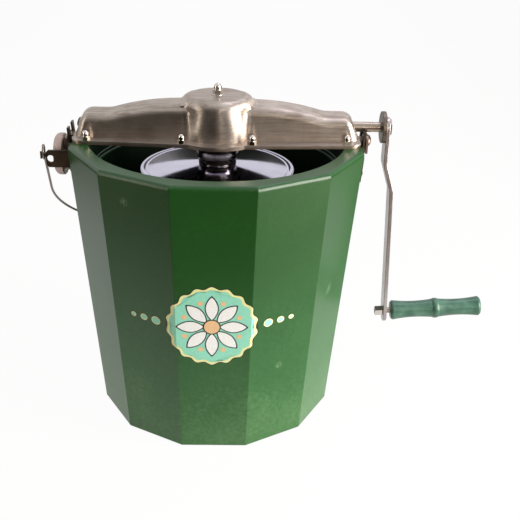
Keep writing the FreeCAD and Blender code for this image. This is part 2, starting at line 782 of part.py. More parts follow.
def base_plate():
    """The flat plate on the tub's rim, with its two end tabs."""
    plate = flange_outline().extrude(Z * plate_thickness)
    plate.translate(Z * rim)
    tabs = [mirrored_x(end_tab(left_tab_drop, 0)), end_tab(right_tab_drop, right_tab_rise)]
    body = plate.fuse(tabs).removeSplitter()
    across = plate_thickness + 2
    holes = [cylinder(stud_diameter / 2 + part_gap, Vector(x, y, rim - 1), across) for x, y in stud_places()]
    holes.append(cylinder(gear_opening / 2, Vector(0, 0, rim - 1), across))
    holes.append(cylinder(knob_screw / 2 + running_gap, Vector(-tab_outer - 1, 0, rim - knob_drop), across, X))
    holes.append(cylinder(button_shank / 2 + part_gap, Vector(tab_inner, 0, button_z), across, X))
    return body.cut(holes)


def guide_button():
    """The round-headed rivet on the +X tab."""
    radius = button_diameter / 2
    shank = cylinder(button_shank / 2, Vector(tab_inner, 0, button_z), plate_thickness + 1, X)
    head = turned([(0, 0), (radius, 0), (radius, button_height * 0.3), (radius * 0.86, button_height * 0.66),
                   (radius * 0.5, button_height * 0.92), (0, button_height)],
                  Vector(tab_outer + part_gap, 0, button_z), X)
    return head.fuse(shank)


def cover_studs():
    """A stud through plate and flange under each acorn nut, flush with the plate's underside."""
    length = plate_thickness + cover_wall + nut_height * 0.5 - part_gap
    return [cylinder(stud_diameter / 2, Vector(x, y, rim + part_gap), length) for x, y in stud_places()]


def cover_nuts():
    return [acorn_nut(nut_flats, nut_height, stud_diameter / 2 + part_gap, Vector(x, y, flange_top))
            for x, y in stud_places()]


def centre_bolt():
    """A shoulder bolt: both gears hang on its head, and its thread is drawn up into the cover's boss."""
    radius = bolt_diameter / 2
    seat = bolt_head_top
    head = turned([(0, seat - bolt_head_height), (bolt_head / 2, seat - bolt_head_height),
                   (bolt_head / 2, seat), (0, seat)])
    shoulder = cylinder(radius, Vector(0, 0, seat), cover_boss_foot - part_gap - seat)
    end = cover_top + washer_thickness + top_nut_height * 0.5
    thread = cylinder(bolt_thread / 2, Vector(0, 0, seat), end - seat)
    return head.fuse([shoulder, thread])


def top_washer():
    bore = bolt_thread / 2 + part_gap
    top = cover_top + washer_thickness
    edge = washer_diameter / 2
    return turned([(bore, cover_top), (edge, cover_top), (edge, top - 0.3), (edge - 0.3, top), (bore, top)])


def top_acorn_nut():
    start = Vector(0, 0, cover_top + washer_thickness)
    return acorn_nut(top_nut_flats, top_nut_height, bolt_thread / 2 + part_gap, start)


def shaft_bearing(x):
    """A block on the plate, round over the shaft, with an oil hole in its top."""
    outer = shaft_radius + bearing_wall
    start = Vector(x - bearing_width / 2, 0, shaft_z)
    foot_half = outer + bearing_foot
    rise = bearing_foot_height
    post = block(start.x, start.x + bearing_width, -outer, outer, plate_top + part_gap, shaft_z)
    foot = block(start.x, start.x + bearing_width, -foot_half, foot_half, plate_top + part_gap,
                 plate_top + rise)
    body = post.fuse([foot, cylinder(outer, start, bearing_width, X)]).removeSplitter()
    bore = cylinder(shaft_hole, start - X, bearing_width + 2, X)
    oil_hole = cylinder(oil_hole_diameter / 2, Vector(x, 0, shaft_z), outer + 1)
    return body.cut([bore, oil_hole])


def plug_axis():
    """A point on the +X end wall at shaft height, and the wall's outward direction."""
    place = Vector(wing_length - wall_slope * (shaft_z - plate_top), 0, shaft_z)
    angle = math.atan(wall_slope)
    return place, Vector(math.cos(angle), 0, math.sin(angle))


def hole_plug():
    """The button pressed into the shaft hole that the -X end does not use."""
    place, outward = plug_axis()
    head = plug_diameter / 2
    shank = head - plug_lip
    start = place + outward * part_gap
    cap = turned([(0, 0), (head, 0), (head, plug_proud * 0.4), (head * 0.75, plug_proud * 0.85),
                  (head * 0.4, plug_proud), (0, plug_proud)], start, outward)
    stub = cylinder(shank, place - outward * (cover_wall + 1), cover_wall + 1.5, outward)
    return mirrored_x(cap.fuse(stub))


# ---------------------------------------------------------------- bevel gears
def tooth_outline(teeth, mate, shift):
    """One tooth on the back cone: (height over the pitch line, half width) from root to tip."""
    cone = math.atan2(teeth, mate)
    pitch = gear_module * teeth / 2 / math.cos(cone)
    press = math.radians(pressure_angle)
    base = pitch * math.cos(press)
    tip = pitch + gear_module * (1 + shift)
    root = pitch - gear_module * (1.25 - shift)
    width = gear_module * (math.pi / 2 + 2 * shift * math.tan(press)) - gear_backlash / 2
    involute = math.tan(press) - press
    outline = []
    for step in range(flank_steps + 1):
        radius = root + (tip - root) * step / flank_steps
        turn = math.acos(min(1.0, base / radius))
        angle = width / 2 / pitch + involute - (math.tan(turn) - turn)
        outline.append((radius * math.cos(angle) - pitch, radius * math.sin(angle)))
    return outline


def cone_directions(teeth, mate):
    """Along the pitch cone from the apex, and outward from its surface, with the gear's axis on Z."""
    cone = math.atan2(teeth, mate)
    along = Vector(math.sin(cone), 0, math.cos(cone))
    outward = Vector(math.cos(cone), 0, -math.sin(cone))
    return along, outward


def bevel_tooth(teeth, mate, shift):
    """A straight bevel tooth: every edge runs to the apex, so all its faces are flat."""
    along, outward = cone_directions(teeth, mate)
    outline = tooth_outline(teeth, mate, shift)
    foot = (outline[0][0] - tooth_rooting, outline[0][1])
    side = [foot] + outline
    section = side + [(height, -half) for height, half in reversed(side)]
    outer = [along * cone_distance + outward * height + Y * half for height, half in section]
    inner = [point * (1 - gear_face / cone_distance) for point in outer]
    faces = [Part.Face(Part.makePolygon(outer + [outer[0]])), Part.Face(Part.makePolygon(inner + [inner[0]]))]
    for k in range(len(outer)):
        j = (k + 1) % len(outer)
        faces.append(Part.Face(Part.makePolygon([outer[k], outer[j], inner[j], inner[k], outer[k]])))
    tooth = Part.Solid(Part.Shell(faces))
    if tooth.Volume < 0:
        tooth.reverse()
    return tooth


def root_points(teeth, mate, shift):
    """(radius, distance from the apex plane) of the root cone's outer and inner ends."""
    along, outward = cone_directions(teeth, mate)
    outer = along * cone_distance - outward * gear_module * (1.25 - shift)
    inner = outer * (1 - gear_face / cone_distance)
    return (outer.x, outer.z), (inner.x, inner.z)


def toothed(blank, teeth, mate, shift, first):
    """The blank with its ring of teeth; first is the angle of one tooth."""
    ring = []
    for k in range(teeth):
        tooth = bevel_tooth(teeth, mate, shift)
        tooth.rotate(ORIGIN, Z, first + 360.0 * k / teeth)
        ring.append(tooth)
    return blank.fuse(ring)


def drive_pinion():
    (outer_r, outer_w), (inner_r, inner_w) = root_points(pinion_teeth, gear_teeth, tooth_shift)
    bore = shaft_radius + part_gap
    hub = pinion_hub_diameter / 2
    hub_end = inner_bearing_x - bearing_width / 2 - seat_gap
    blank = turned([(bore, inner_w), (inner_r, inner_w), (outer_r, outer_w), (hub, outer_w + 0.5),
                    (hub, hub_end - 1), (hub - 1, hub_end), (bore, hub_end)])
    pinion = toothed(blank, pinion_teeth, gear_teeth, tooth_shift, 0)
    # The gear's axis goes to +X, and the tooth at its own +X goes straight up.
    pinion.Placement = FreeCAD.Placement(Vector(0, 0, shaft_z), FreeCAD.Rotation(Z, Vector(0, -1, 0), X, "ZYX"))
    return pinion.cut(pin_hole())


def pin_hole():
    return cylinder(pin_diameter / 2 + part_gap, Vector(pin_x, -pinion_hub_diameter, shaft_z),
                    2 * pinion_hub_diameter, Y)


def pinion_pin():
    reach = pinion_hub_diameter / 2
    return cylinder(pin_diameter / 2, Vector(pin_x, -reach, shaft_z), 2 * reach, Y)


def can_drive_gear():
    """The lower gear: teeth above, and a tapering hub that hangs through the plate's opening."""
    (outer_r, outer_w), (inner_r, inner_w) = root_points(gear_teeth, pinion_teeth, -tooth_shift)
    bore = sleeve_radius + running_gap
    boss = gear_boss_diameter / 2
    top = seat_gap / 2
    skirt_w = shaft_z - rim
    foot_w = skirt_w + can_gear_foot
    foot_r = can_gear_foot_diameter / 2
    spigot = collar_spigot / 2
    spigot_w = shaft_z - spigot_foot
    blank = turned([(bore, top), (boss, top), (boss, inner_w), (inner_r, inner_w), (outer_r, outer_w),
                    (can_gear_skirt / 2, skirt_w), (foot_r, foot_w), (spigot, foot_w), (spigot, spigot_w),
                    (bore, spigot_w)])
    gear = toothed(blank, gear_teeth, pinion_teeth, -tooth_shift, 180.0 / gear_teeth)
    gear.rotate(ORIGIN, X, 180)
    gear.translate(Z * shaft_z)
    return gear


def dasher_drive_gear():
    """The upper gear: teeth below, and a sleeve that runs down through the lower gear."""
    (outer_r, outer_w), (inner_r, inner_w) = root_points(gear_teeth, pinion_teeth, -tooth_shift)
    boss = gear_boss_diameter / 2
    bottom = seat_gap / 2
    back_w = outer_w + gear_web
    hub = upper_hub_diameter / 2
    bore = bolt_diameter / 2 + running_gap
    counterbore = socket_bore / 2
    sleeve_w = sleeve_foot - shaft_z
    seat_w = bolt_head_top + seat_gap - shaft_z
    groove_foot = ring_foot - part_gap - shaft_z
    groove_top = groove_foot + ring_thickness + 2 * part_gap
    groove = sleeve_radius - ring_groove
    blank = turned([(counterbore, sleeve_w), (sleeve_radius, sleeve_w), (sleeve_radius, groove_foot),
                    (groove, groove_foot), (groove, groove_top), (sleeve_radius, groove_top),
                    (sleeve_radius, bottom), (boss, bottom), (boss, inner_w), (inner_r, inner_w),
                    (outer_r, outer_w), (outer_r - 1, back_w), (hub, back_w), (hub, upper_hub_rise),
                    (bore, upper_hub_rise), (bore, seat_w), (counterbore, seat_w)])
    gear = toothed(blank, gear_teeth, pinion_teeth, -tooth_shift, 180.0 / gear_teeth)
    gear.translate(Z * shaft_z)
    return gear


def drive_collar():
    """The bright cup pressed on the lower gear's foot, with the claws that turn the lid."""
    outer = collar_diameter / 2
    bore = collar_spigot / 2 + part_gap
    web_top = rim - can_gear_foot - part_gap
    inner = outer - collar_wall
    cup = turned([(bore, collar_foot), (outer - 1.5, collar_foot), (outer, collar_foot + 1.5),
                  (outer, collar_top), (inner, collar_top), (inner, web_top), (bore, web_top)])
    claws = []
    for k in range(claw_count):
        claw = block(bore, claw_ring_diameter / 2, -claw_width / 2, claw_width / 2,
                     collar_foot - claw_depth, collar_foot + 1)
        claw = claw.common(tube(claw_ring_diameter / 2, bore, Vector(0, 0, collar_foot - claw_depth),
                                claw_depth + 1))
        claw.rotate(ORIGIN, Z, 360.0 * k / claw_count + claw_start)
        claws.append(claw)
    return cup.fuse(claws)


def retaining_ring():
    """The split ring in the sleeve's groove, under the lower gear."""
    inner = sleeve_radius - ring_groove + part_gap
    outer = inner + ring_width
    ring = tube(outer, inner, Vector(0, 0, ring_foot), ring_thickness)
    split = block(0, outer + 1, -ring_split / 2, ring_split / 2, ring_foot - 1, ring_foot + ring_thickness + 1)
    return ring.cut(split)


def dasher_socket():
    """The six-sided socket pressed into the sleeve's foot."""
    outer = socket_bore / 2 - part_gap
    height = stem_grip + 1
    body = cylinder(outer, Vector(0, 0, sleeve_foot), height)
    return body.cut(hexagon(stem_flats + 2 * stem_play, Vector(0, 0, sleeve_foot - 1), height + 2))


# ---------------------------------------------------------------- crank
def crank_shaft():
    end = arm_outer + crank_nut_height + shaft_end_proud
    shaft = cylinder(shaft_radius, Vector(shaft_inner_end, 0, shaft_z), end - shaft_inner_end, X)
    ends = [edge for edge in shaft.Edges if edge.BoundBox.XLength < 0.01]
    return shaft.makeChamfer(0.8, ends).cut(pin_hole())


def shaft_collar():
    start = Vector(inner_bearing_x + bearing_width / 2 + seat_gap, 0, shaft_z)
    return tube(shaft_collar_diameter / 2, shaft_radius + part_gap, start, shaft_collar_width, X)


def crank_disc():
    """The round hub at the shaft's end, inside the arm."""
    disc = tube(crank_disc_diameter / 2, shaft_radius + part_gap, Vector(crank_disc_x, 0, shaft_z),
                crank_disc_thickness, X)
    rims = [edge for edge in disc.Edges
            if edge.BoundBox.XLength < 0.01 and edge.BoundBox.YLength > crank_disc_diameter - 0.1]
    return disc.makeFillet(0.8, rims)


def crank_nut():
    start = Vector(arm_outer + part_gap, 0, shaft_z)
    nut = hexagon(crank_nut_flats, start, crank_nut_height - part_gap, X)
    return nut.cut(cylinder(shaft_radius + part_gap, start - X, crank_nut_height + 2, X))


def arm_points():
    """The arm's middle line, from above the shaft to below the grip's rod."""
    upper_x = arm_outer - arm_thickness / 2
    lower_x = upper_x + arm_jog
    top = shaft_z + arm_width
    jog_top = shaft_z - arm_jog_top
    jog_foot = shaft_z - arm_jog_bottom
    foot = rod_z - arm_width
    slope = math.tan(math.radians(arm_lean))
    return [Vector(upper_x, 0, top), Vector(upper_x, 0, jog_top), Vector(lower_x, 0, jog_foot),
            Vector(lower_x + (jog_foot - foot) * slope, 0, foot)]


def rounded_path(points, radius):
    """Straight runs through the points, with an arc in each bend."""
    edges = []
    start = points[0]
    for before, corner, after in zip(points, points[1:], points[2:]):
        into = (corner - before).normalize()
        out = (after - corner).normalize()
        turn = into.getAngle(out)
        cut = radius * math.tan(turn / 2)
        first = corner - into * cut
        last = corner + out * cut
        inward = (out - into).normalize()
        middle = corner + inward * (radius / math.cos(turn / 2) - radius)
        edges.append(Part.makeLine(start, first))
        edges.append(Part.Arc(first, middle, last).toShape())
        start = last
    edges.append(Part.makeLine(start, points[-1]))
    return Part.Wire(edges)


def crank_arm():
    """A flat bar bent outward below the hub, round at both ends."""
    points = arm_points()
    top = points[0]
    half_t = arm_thickness / 2
    half_w = arm_width / 2
    corners = [Vector(top.x + sx * half_t, sy * half_w, top.z) for sx, sy in ((1, 1), (1, -1), (-1, -1), (-1, 1))]
    section = Part.makePolygon(corners + [corners[0]])
    bar = rounded_path(points, arm_bend_round).makePipeShell([section], True, True)
    low = rod_z - arm_end_drop
    side = 2 * arm_length
    stadium = block(0, side, -half_w, half_w, low, shaft_z)
    stadium = stadium.fuse([cylinder(half_w, Vector(0, 0, z), side, X) for z in (low, shaft_z)])
    bar = bar.common(stadium.removeSplitter())
    long_edges = [edge for edge in bar.Edges if edge.BoundBox.YLength < 0.01 and edge.Length > arm_thickness * 2]
    bar = bar.makeFillet(arm_edge_round, long_edges)
    shaft_bore = cylinder(shaft_radius + part_gap, Vector(arm_outer - 2 * arm_thickness, 0, shaft_z), 30, X)
    rod_bore = cylinder(rod_diameter / 2 + part_gap, rod_place() - grip_axis * 15, 30, grip_axis)
    return bar.cut([shaft_bore, rod_bore])


def rod_place():
    """Where the grip's rod crosses the arm's middle."""
    points = arm_points()
    slope = math.tan(math.radians(arm_lean))
    return Vector(points[2].x + (points[2].z - rod_z) * slope, 0, rod_z)


def along_rod(distance):
    """A point on the rod, measured outward from the arm's middle."""
    return rod_place() + grip_axis * distance


def grip_rod():
    """The rod the grip turns on: a round head sunk in the grip's end, a thread through the arm."""
    half = arm_thickness / 2
    head_seat = rod_grip_start + grip_length - rod_head_recess
    inner = -half - rod_clear - rod_nut_height * 0.9
    rod = cylinder(rod_diameter / 2, along_rod(inner), head_seat + 0.5 - inner, grip_axis)
    head = turned([(0, 0), (rod_head_diameter / 2, 0), (rod_head_diameter / 2, rod_head_height * 0.5),
                   (rod_head_diameter * 0.35, rod_head_height), (0, rod_head_height)],
                  along_rod(head_seat + seat_gap), grip_axis)
    return rod.fuse(head)


def rod_nut():
    """The hexagon nut on the arm's inner side."""
    start = along_rod(-arm_thickness / 2 - rod_clear - rod_nut_height)
    nut = hexagon(rod_nut_flats, start, rod_nut_height, grip_axis)
    ends = turned([(0, 0), (rod_nut_flats * 0.5, 0), (rod_nut_flats * 0.58, rod_nut_flats * 0.05),
                   (rod_nut_flats * 0.58, rod_nut_height), (0, rod_nut_height)], start, grip_axis)
    bore = cylinder(rod_diameter / 2 + part_gap, start - grip_axis, rod_nut_height + 2, grip_axis)
    return nut.common(ends).cut(bore)


def crank_grip():
    """The turned grip: two waists, a bead in the middle and rounded ends."""
    end = grip_end_diameter / 2
    waist = grip_waist_diameter / 2
    bead = grip_bead_diameter / 2
    half = grip_length / 2
    edge = grip_end_round
    bead_half = grip_bead_width / 2
    waist_x = half * 0.45
    bore = rod_diameter / 2 + running_gap
    recess = rod_head_diameter / 2 + seat_gap

    def at(radius, place):
        return Vector(radius, 0, place)

    side = [Part.makeLine(at(bore, 0), at(end - edge, 0)),
            Part.Arc(at(end - edge, 0), at(end - edge * 0.29, edge * 0.29), at(end, edge)).toShape(),
            Part.Arc(at(end, edge), at(waist, half - waist_x), at(bead - 1.2, half - bead_half)).toShape(),
            Part.Arc(at(bead - 1.2, half - bead_half), at(bead, half), at(bead - 1.2, half + bead_half)).toShape(),
            Part.Arc(at(bead - 1.2, half + bead_half), at(waist, half + waist_x),
                     at(end, grip_length - edge)).toShape(),
            Part.Arc(at(end, grip_length - edge), at(end - edge * 0.29, grip_length - edge * 0.29),
                     at(end - edge, grip_length)).toShape(),
            Part.makeLine(at(end - edge, grip_length), at(recess, grip_length)),
            Part.makeLine(at(recess, grip_length), at(recess, grip_length - rod_head_recess)),
            Part.makeLine(at(recess, grip_length - rod_head_recess), at(bore, grip_length - rod_head_recess)),
            Part.makeLine(at(bore, grip_length - rod_head_recess), at(bore, 0))]
    grip = Part.Face(Part.Wire(side)).revolve(ORIGIN, Z, 360)
    grip.Placement = FreeCAD.Placement(along_rod(rod_grip_start), FreeCAD.Rotation(Z, grip_axis))
    return grip


# ---------------------------------------------------------------- can, lid and dasher
def freezer_can():
    height = can_top - can_foot - can_bead / 2
    outside = cylinder(can_radius, Vector(0, 0, can_foot), height)
    inside = cylinder(can_radius - can_wall, Vector(0, 0, can_floor), height)
    outside = outside.makeFillet(can_corner, foot_edge(outside, can_foot))
    inside = inside.makeFillet(can_corner - can_wall, foot_edge(inside, can_floor))
    bead = can_bead / 2
    rolled = Part.makeTorus(can_radius + bead - can_wall + part_gap, bead, Vector(0, 0, can_top - bead))
    hole = cylinder(pivot_neck / 2 + part_gap, Vector(0, 0, can_foot - 1), can_wall + 2)
    return outside.cut(inside).fuse(rolled).cut(hole)


def foot_edge(shape, z):
    return [edge for edge in shape.Edges if edge.BoundBox.ZMax < z + 0.01]


def can_pivot_pin():
    """The pin under the can, riveted up through its floor."""
    radius = pivot_diameter / 2
    foot = can_foot - socket_depth
    neck = pivot_neck / 2
    under = can_foot - part_gap
    top = can_floor + foot_socket_floor
    return turned([(0, foot), (radius - 1, foot), (radius, foot + 1), (radius, under), (neck, under),
                   (neck, top - part_gap), (0, top - part_gap)])


def dasher_foot_socket():
    """The cup on the can's floor that the dasher's foot turns in."""
    foot = can_floor + part_gap
    outer = foot_socket_diameter / 2
    top = foot + foot_socket_height
    floor = can_floor + foot_socket_floor
    neck = pivot_neck / 2 + part_gap
    bore = foot_diameter / 2 + running_gap
    return turned([(neck, foot), (outer, foot), (outer, foot + 2), (outer * 0.6, top), (bore, top),
                   (bore, floor), (neck, floor)])


def can_lid():
    """A shallow dished lid with a skirt that laps the can's rolled edge."""
    wall = lid_wall
    inner = can_radius + can_bead - can_wall + part_gap + seat_gap
    outer = inner + wall
    foot = lid_edge - lid_skirt
    step = lid_step_diameter / 2
    hole = hub_diameter / 2 + part_gap
    top = lid_edge + lid_rise
    outline = [(hole, top), (step - 5, top), (step, top - lid_rise / 2), (outer, lid_edge), (outer, foot),
               (inner, foot), (inner, lid_edge - wall), (step, top - lid_rise / 2 - wall),
               (step - 5, top - wall), (hole, top - wall)]
    lid = turned(outline)
    edges = [edge for edge in lid.Edges
             if abs(edge.BoundBox.ZMax - lid_edge) < 0.01 and edge.BoundBox.ZLength < 0.01
             and edge.BoundBox.XLength > 2 * inner]
    return lid.makeFillet(lid_edge_round, edges)


def lid_hub():
    """The bright column in the lid's middle, flanged under the lid; the dasher's stem turns in it."""
    bore = stem_diameter / 2 + running_gap
    radius = hub_diameter / 2
    foot = lid_edge - hub_below
    under = lid_edge + lid_rise - lid_wall - part_gap
    flange = radius + hub_flange
    top = hub_top - claw_ring_height - part_gap
    return turned([(bore, foot), (radius, foot), (radius, under - 3), (flange, under - 3), (flange, under),
                   (radius, under), (radius, top), (claw_neck / 2, top), (claw_neck / 2, hub_top - 1),
                   (bore, hub_top - 1)])


def lid_claw_ring():
    """The dark ring on the column's top, with a slot for each of the collar's claws."""
    outer = claw_ring_diameter / 2
    foot = hub_top - claw_ring_height
    ring = tube(outer, claw_neck / 2 + part_gap, Vector(0, 0, foot), claw_ring_height)
    slot_foot = collar_foot - claw_depth - claw_gap
    half = claw_width / 2 + claw_gap
    inner = collar_spigot / 2 - claw_gap
    slots = []
    for k in range(claw_count):
        slot = block(inner, outer + 1, -half, half, slot_foot, hub_top + 1)
        slot.rotate(ORIGIN, Z, 360.0 * k / claw_count + claw_start)
        slots.append(slot)
    return ring.cut(slots)


def dasher_stem():
    """The rod through the dasher: a pin at its foot and a hexagon at its top."""
    radius = stem_diameter / 2
    pin = foot_diameter / 2
    foot = can_floor + foot_socket_floor + seat_gap
    shoulder = can_floor + part_gap + foot_socket_height + seat_gap
    hexagon_foot = collar_foot - seat_gap
    rod = turned([(0, foot), (pin - 0.8, foot), (pin, foot + 0.8), (pin, shoulder), (radius, shoulder),
                  (radius, hexagon_foot), (0, hexagon_foot)])
    return rod.fuse(hexagon(stem_flats, Vector(0, 0, hexagon_foot - 1), stem_top - hexagon_foot + 1))


def dasher_side():
    """Half width of the dasher's frame."""
    return can_radius - can_wall - dasher_frame_gap


def dasher_levels():
    return can_floor + dasher_end_gap, can_top - dasher_end_gap


def dasher_frame():
    """A flat frame with round corners, and a boss round the stem in each cross bar."""
    side = dasher_side()
    low, high = dasher_levels()
    half = dasher_thickness / 2
    outside = block(-side, side, -half, half, low, high)
    outside = outside.makeFillet(dasher_corner, cross_edges(outside))
    inside = block(-side + dasher_bar, side - dasher_bar, -half - 1, half + 1, low + dasher_bar,
                   high - dasher_bar)
    inside = inside.makeFillet(dasher_corner - dasher_bar / 2, cross_edges(inside))
    bosses = [cylinder(stem_diameter / 2 + 4, Vector(0, 0, z), dasher_bar) for z in (low, high - dasher_bar)]
    bore = cylinder(stem_diameter / 2 + part_gap, Vector(0, 0, low - 1), high - low + 2)
    return outside.cut(inside).fuse(bosses).cut(bore)


def cross_edges(box):
    return [edge for edge in box.Edges if edge.BoundBox.YLength > dasher_thickness / 2]


def scraper_blades():
    """A blade on each side bar that trails against the can's wall."""
    low, high = dasher_levels()
    side = dasher_side()
    half = scraper_thickness / 2
    foot = low + dasher_corner
    height = high - low - 2 * dasher_corner
    blade = block(0, scraper_width, -half, half, foot, foot + height)
    blade.rotate(ORIGIN, Z, scraper_angle)
    blade.translate(Vector(side - half, 0, 0))
    sweep = cylinder(can_radius - can_wall - scraper_gap, Vector(0, 0, foot - 1), height + 2)
    bar = block(0, side + part_gap, -can_radius, dasher_thickness / 2 + part_gap, low, high)
    blade = blade.common(sweep).cut(bar)
    blades = [blade.copy(), blade.copy()]
    blades[1].rotate(ORIGIN, Z, 180)
    return blades


def dasher_paddles():
    """Slanting boards between the stem and the side bars."""
    low, high = dasher_levels()
    reach = dasher_side() - dasher_bar - part_gap
    half = paddle_thickness / 2
    stem = cylinder(stem_diameter / 2 + part_gap, Vector(0, 0, low), high - low)
    pitch = (high - low - 2 * dasher_bar) / (paddle_count + 0.5)
    paddles = []
    for side in (0, 1):
        for k in range(paddle_count):
            board = block(0, reach, -half, half, -paddle_width / 2, paddle_width / 2)
            board.rotate(ORIGIN, X, paddle_angle)
            board.translate(Z * (low + dasher_bar + pitch * (k + 0.5 + side * 0.5)))
            board = board.cut(stem)
            board.rotate(ORIGIN, Z, 180 * side)
            paddles.append(board)
    return paddles


# ---------------------------------------------------------------- nodes
save("tub", tub())
save("pivot_socket", pivot_socket())
save("latch_bracket", latch_bracket())
save("guide_bracket", guide_bracket())
save("bracket_screws", *bracket_screws(), *[mirrored_x(screw) for screw in bracket_screws()])
save("bail_pivot_screw", bail_pivot_screw())
save("bail_wire", bail_wire())
save("base_plate", base_plate())
save("gear_cover", gear_cover())
save("cover_studs", *cover_studs())
save("cover_acorn_nuts", *cover_nuts())
save("centre_bolt", centre_bolt())
save("top_washer", top_washer())
save("top_acorn_nut", top_acorn_nut())
save("inner_bearing", shaft_bearing(inner_bearing_x))
save("outer_bearing", shaft_bearing(outer_bearing_x))
save("hole_plug", hole_plug())
save("guide_button", guide_button())
save("clamp_knob", clamp_knob())
save("drive_pinion", drive_pinion())
save("pinion_pin", pinion_pin())
save("can_drive_gear", can_drive_gear())
save("drive_collar", drive_collar())
save("dasher_drive_gear", dasher_drive_gear())
save("retaining_ring", retaining_ring())
save("dasher_socket", dasher_socket())
save("crank_shaft", crank_shaft())
save("shaft_collar", shaft_collar())
save("crank_disc", crank_disc())
save("crank_arm", crank_arm())
save("crank_nut", crank_nut())
save("grip_rod", grip_rod())
save("rod_nut", rod_nut())
save("crank_grip", crank_grip())
save("freezer_can", freezer_can())
save("can_pivot_pin", can_pivot_pin())
save("dasher_foot_socket", dasher_foot_socket())
save("can_lid", can_lid())
save("lid_hub", lid_hub())
save("lid_claw_ring", lid_claw_ring())
save("dasher_stem", dasher_stem())
save("dasher_frame", dasher_frame())
save("scraper_blades", *scraper_blades())
save("dasher_paddles", *dasher_paddles())
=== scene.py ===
import bpy, bmesh
import json, math
from mathutils import Matrix, Vector


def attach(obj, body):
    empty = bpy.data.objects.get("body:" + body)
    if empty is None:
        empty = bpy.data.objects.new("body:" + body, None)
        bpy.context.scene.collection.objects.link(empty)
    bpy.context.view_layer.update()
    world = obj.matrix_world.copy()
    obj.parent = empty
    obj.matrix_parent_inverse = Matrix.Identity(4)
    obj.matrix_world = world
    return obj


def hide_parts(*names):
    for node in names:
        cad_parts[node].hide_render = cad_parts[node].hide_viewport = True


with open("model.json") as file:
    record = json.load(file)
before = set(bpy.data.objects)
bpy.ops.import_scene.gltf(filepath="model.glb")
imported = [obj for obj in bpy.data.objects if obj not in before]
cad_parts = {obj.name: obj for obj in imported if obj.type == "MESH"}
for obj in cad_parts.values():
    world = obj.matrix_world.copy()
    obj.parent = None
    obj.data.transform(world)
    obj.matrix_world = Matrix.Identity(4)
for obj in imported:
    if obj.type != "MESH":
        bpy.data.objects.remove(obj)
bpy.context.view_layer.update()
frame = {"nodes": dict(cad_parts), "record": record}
nodes = frame["nodes"]
mm = 0.001
print("stage: frame loaded,", len(nodes), "nodes")


def hexToLinear(code):
    # sRGB hex to the linear values that shaders take
    values = [int(code[i:i + 2], 16) / 255 for i in (1, 3, 5)]
    return tuple(v / 12.92 if v <= 0.04045 else ((v + 0.055) / 1.055) ** 2.4 for v in values) + (1.0,)


def addNode(tree, kind, inputs=None, stops=None, **settings):
    # one node, its settings, its ramp stops, and its inputs: a value, or (node, output) to link from
    node = tree.nodes.new(kind)
    for name, value in settings.items():
        setattr(node, name, value)
    for name, value in (inputs or {}).items():
        socket = node.inputs[name]
        if isinstance(value, tuple) and len(value) == 2 and isinstance(value[0], bpy.types.Node):
            tree.links.new(value[0].outputs[value[1]], socket)
        else:
            socket.default_value = value
    if stops:
        ramp = node.color_ramp
        ramp.elements.remove(ramp.elements[1])
        ramp.elements[0].position, ramp.elements[0].color = stops[0][0], hexToLinear(stops[0][1])
        for position, code in stops[1:]:
            ramp.elements.new(position).color = hexToLinear(code)
    return node


def newMaterial(name):
    material = bpy.data.materials.new(name)
    material.use_nodes = True
    tree = material.node_tree
    tree.nodes.clear()
    shader = addNode(tree, "ShaderNodeBsdfPrincipled")
    addNode(tree, "ShaderNodeOutputMaterial", {"Surface": (shader, "BSDF")})
    return material, tree, shader


def feed(tree, shader, **links):
    # joins finished nodes to the shader: feed(tree, shader, Roughness=(node, "Result"))
    for name, (node, output) in links.items():
        tree.links.new(node.outputs[output], shader.inputs[name.replace("_", " ")])


# Materials

tubLook = {
    "deep": "#083f0c", "mid": "#0f4912", "pale": "#225723", "dustAndSheen": "#456d40", "scuff": "#8fae8c",
    # insideShade is the painted shade colour for the tub's inside
    "insideShade": "#031506",
    "cloudMm": 75.0, "cloudShare": (0.36, 0.64), "mottleMm": 5.0, "mottleShare": 0.22,
    # painted reflection of the bright floor: how far the colour pales from the height where that starts down
    # to the foot, m
    "floorSheenHeights": (0.30, 0.02), "floorSheen": (-0.16, 0.32),
    "roughness": (0.30, 0.36), "grainMm": 2.2, "bumpMm": 0.08, "bumpStrength": 0.35, "ior": 1.50,
    "smearMm": 1.7, "smearShare": 0.45,
    # scuffs: place in mm and reach in mm
    "scuffs": [((-101.6, -147.0, 332.4), 7.0), ((142.3, -88.6, 196.0), 9.0), ((80.2, -139.9, 115.3), 6.0)],
}


